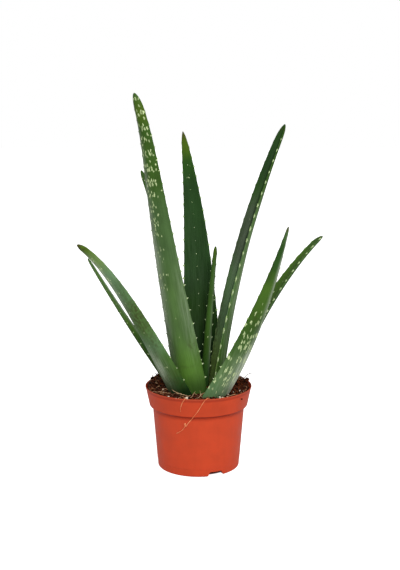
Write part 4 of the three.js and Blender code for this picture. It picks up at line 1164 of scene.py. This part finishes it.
def leaf_teeth(leaf, look, sizes, random):
    """Corners of every tooth of both margins, as (teeth, corners, 3)."""
    template = tooth_template()[0] * [1, look["stretch"], 1]
    groups = []
    for sign, first in ((1, sizes.first_right), (-1, sizes.first_left)):
        s = tooth_shares(leaf, first, sizes.tooth_spacing)
        s = s + random.uniform(-TOOTH_STRAY, TOOTH_STRAY, len(s)) / leaf["length"]
        cut = leaf_sections(leaf, s)
        foot = leaf_point(cut, np.full(len(s), 0.0 if sign > 0 else math.pi), 0.3)
        size = sizes.tooth_length * (1 - look["fade"] * s) * random.uniform(*TOOTH_SIZE, len(s))
        size = look["teeth"] * size * np.minimum(1, cut[4] / 10)
        groups.append(planted(template, foot, (cut[2] * sign, cut[1], cut[3]), size))
    return np.concatenate(groups)


def row_dots(name, leaf, random):
    """Corners of the pale dots that stand in a row on a face: small flat lumps, longer than wide."""
    flat = tooth_template()[0] * DOT_SHAPE
    groups = []
    for q, side, first, last, step in DOT_ROWS.get(name, ()):
        s = np.arange(first, last, step / leaf["length"])
        s = s + random.uniform(-DOT_STRAY, DOT_STRAY, len(s)) / leaf["length"]
        cut = leaf_sections(leaf, s)
        sign = 1 if side == "inner" else -1
        foot = leaf_point(cut, np.full(len(s), sign * math.acos(q)), 0)
        size = random.uniform(*DOT_SIZE, len(s))
        groups.append(planted(flat, foot, (cut[3] * sign, cut[1], cut[2]), size))
    return groups


def make_teeth(name, horn, sizes):
    """All the teeth of one leaf, and its row of dots, as one piece."""
    leaf, look = leaf_named(name)
    random = np.random.default_rng(look["seed"])
    _, faces, point = tooth_template()
    teeth = leaf_teeth(leaf, look, sizes, random)
    corners = np.concatenate([teeth, *row_dots(name, leaf, random)])
    points, faces = many(faces, corners)
    return put_mesh(name + "_teeth", points, faces, horn, values={"point": np.tile(point, len(corners))})


# ---- Settings ------------------------------------------------------------------------------------

class AloePot(bpy.types.PropertyGroup):
    plastic: StringProperty(name="Plastic", description="sRGB colour of the pot", default="ce4724")
    cloud: StringProperty(name="Clouding", description="sRGB colour of the duller patches", default="c34322")


class AloeSoil(bpy.types.PropertyGroup):
    crumbs: IntProperty(name="Crumbs", description="Crumbs of peat on the surface", default=900, min=0)
    fibres: IntProperty(name="Strands", description="Strands of coir on the surface", default=420, min=0)
    perlite: IntProperty(name="Perlite", description="White grains on the surface", default=26, min=0)
    seed: IntProperty(name="Seed", description="Changes where everything on the soil lies", default=7)


class AloeLeaves(bpy.types.PropertyGroup):
    rings: IntProperty(name="Rings", description="Sections along each leaf", default=260, min=20)
    sides: IntProperty(name="Sides", description="Corners round each section", default=56, min=12)
    tooth_length: FloatProperty(
        name="Tooth", description="Length of a tooth near the base, in millimetres", default=2.3, min=0)
    tooth_spacing: FloatProperty(
        name="Tooth spacing", description="Distance between teeth near the base, in millimetres", default=16.5,
        min=4)
    first_right: FloatProperty(
        name="First tooth, one margin", description="Distance from the base, in millimetres", default=24.0)
    first_left: FloatProperty(
        name="First tooth, other margin", description="Distance from the base, in millimetres", default=30.0)


class AloeStage(bpy.types.PropertyGroup):
    base: FloatProperty(name="Base", description="Light from all round", default=0.25, min=0)
    walls: FloatProperty(name="Walls", description="Light from the left and right", default=0.7, min=0)
    ceiling: FloatProperty(name="Ceiling", description="Light added from above", default=0.34, min=0)
    key: FloatProperty(
        name="Key light", description="Power of the large soft light in front", default=34.0, min=0, unit="POWER")
    floor_glow: FloatProperty(
        name="Floor", description="What the floor adds so that it shows white", default=0.95, min=0)
    floor_tone: StringProperty(name="Floor tone", description="sRGB colour of the floor", default="d4d4d4")
    lens: FloatProperty(
        name="Lens", description="Focal length of the camera, in millimetres", default=63.4, min=10)
    camera_place: FloatVectorProperty(
        name="Camera", description="Where the camera stands", subtype="TRANSLATION", unit="LENGTH",
        default=(0.0017, -1.1, 0.4014))
    camera_pitch: FloatProperty(
        name="Pitch", description="How far the camera looks down", subtype="ANGLE", default=math.radians(10))


# ---- Operators -----------------------------------------------------------------------------------

def seat(piece, node):
    """Lets a piece ride with the plant and stand in for a solid, which is hidden."""
    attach(piece, BODY)
    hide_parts(node)


class ALOE_OT_pot(bpy.types.Operator):
    """Make the nursery pot"""
    bl_idname = "aloe.pot"
    bl_label = "Pot"

    def execute(self, context):
        seat(make_pot(context.scene.aloe_pot), "pot")
        return {"FINISHED"}


class ALOE_OT_soil(bpy.types.Operator):
    """Make the potting mix with its crumbs, perlite and strands of coir"""
    bl_idname = "aloe.soil"
    bl_label = "Potting mix"

    def execute(self, context):
        sizes = context.scene.aloe_soil
        for piece in (make_soil(sizes), make_crumbs(sizes), make_perlite(sizes), make_fibres(sizes)):
            seat(piece, "soil")
        return {"FINISHED"}


class ALOE_OT_hairs(bpy.types.Operator):
    """Make the single hairs that hang over the lip or stand up from the soil"""
    bl_idname = "aloe.hairs"
    bl_label = "Hairs"

    def execute(self, context):
        for piece in make_hairs():
            seat(piece, "soil")
        return {"FINISHED"}


class ALOE_OT_stem(bpy.types.Operator):
    """Make the short stem"""
    bl_idname = "aloe.stem"
    bl_label = "Stem"

    def execute(self, context):
        seat(make_stem(), "stem")
        return {"FINISHED"}


class ALOE_OT_leaves(bpy.types.Operator):
    """Make the nine leaves, each with its own skin and teeth"""
    bl_idname = "aloe.leaves"
    bl_label = "Leaves"

    def execute(self, context):
        sizes = context.scene.aloe_leaves
        horn = tooth_horn("tooth_horn")
        for name in LEAVES:
            seat(make_blade(name, sizes), name)
            seat(make_teeth(name, horn, sizes), name)
        return {"FINISHED"}


class ALOE_OT_stage(bpy.types.Operator):
    """Make the floor, the light and the camera"""
    bl_idname = "aloe.stage"
    bl_label = "Stage"

    def execute(self, context):
        scene, stage = context.scene, context.scene.aloe_stage
        corners = [(x * FLOOR_REACH, y * FLOOR_REACH, -FLOOR_BELOW) for x, y in ((-1, -1), (1, -1), (1, 1), (-1, 1))]
        put_mesh("floor", corners, [[0, 1, 2, 3]], studio_white("studio_white"))

        scene.world = studio_surround(stage)

        # A soft box of 1.2 by 1 m, in front of the plant and above it, a little to the right.
        lamp = bpy.data.lights.new("key", "AREA")
        lamp.shape = "RECTANGLE"
        lamp.size, lamp.size_y = 1.2, 1.0
        lamp.energy = stage.key
        key = bpy.data.objects.new("key", lamp)
        key.location = (0.35, -1.7, 1.5)
        key.rotation_euler = (math.radians(54), 0, math.radians(12))
        scene.collection.objects.link(key)

        camera = bpy.data.objects.new("camera", bpy.data.cameras.new("camera"))
        camera.data.lens = stage.lens
        camera.location = stage.camera_place
        camera.rotation_euler = (math.pi / 2 - stage.camera_pitch, 0, 0)
        scene.collection.objects.link(camera)
        scene.camera = camera
        scene.view_settings.view_transform = "Standard"
        return {"FINISHED"}


class ALOE_PT_panel(bpy.types.Panel):
    """Lists the pieces and their settings"""
    bl_idname = "ALOE_PT_panel"
    bl_label = "Potted aloe"
    bl_space_type = "VIEW_3D"
    bl_region_type = "UI"
    bl_category = "Potted aloe"

    def draw(self, context):
        for step in STEPS:
            self.layout.operator(step.bl_idname)
        for group in GROUPS:
            box, settings = self.layout.box(), getattr(context.scene, group)
            for key in settings.bl_rna.properties.keys():
                if key not in ("rna_type", "name"):
                    box.prop(settings, key)


STEPS = (ALOE_OT_pot, ALOE_OT_soil, ALOE_OT_hairs, ALOE_OT_stem, ALOE_OT_leaves, ALOE_OT_stage)
GROUPS = {"aloe_pot": AloePot, "aloe_soil": AloeSoil, "aloe_leaves": AloeLeaves, "aloe_stage": AloeStage}
CLASSES = (*GROUPS.values(), *STEPS, ALOE_PT_panel)


def register():
    for made in CLASSES:
        bpy.utils.register_class(made)
    for key, group in GROUPS.items():
        setattr(bpy.types.Scene, key, PointerProperty(type=group))


def unregister():
    for key in GROUPS:
        delattr(bpy.types.Scene, key)
    for made in reversed(CLASSES):
        bpy.utils.unregister_class(made)


def main():
    register()
    bpy.ops.aloe.pot()
    bpy.ops.aloe.soil()
    bpy.ops.aloe.hairs()
    bpy.ops.aloe.stem()
    bpy.ops.aloe.leaves()
    bpy.ops.aloe.stage()


if __name__ == "__main__":
    main()
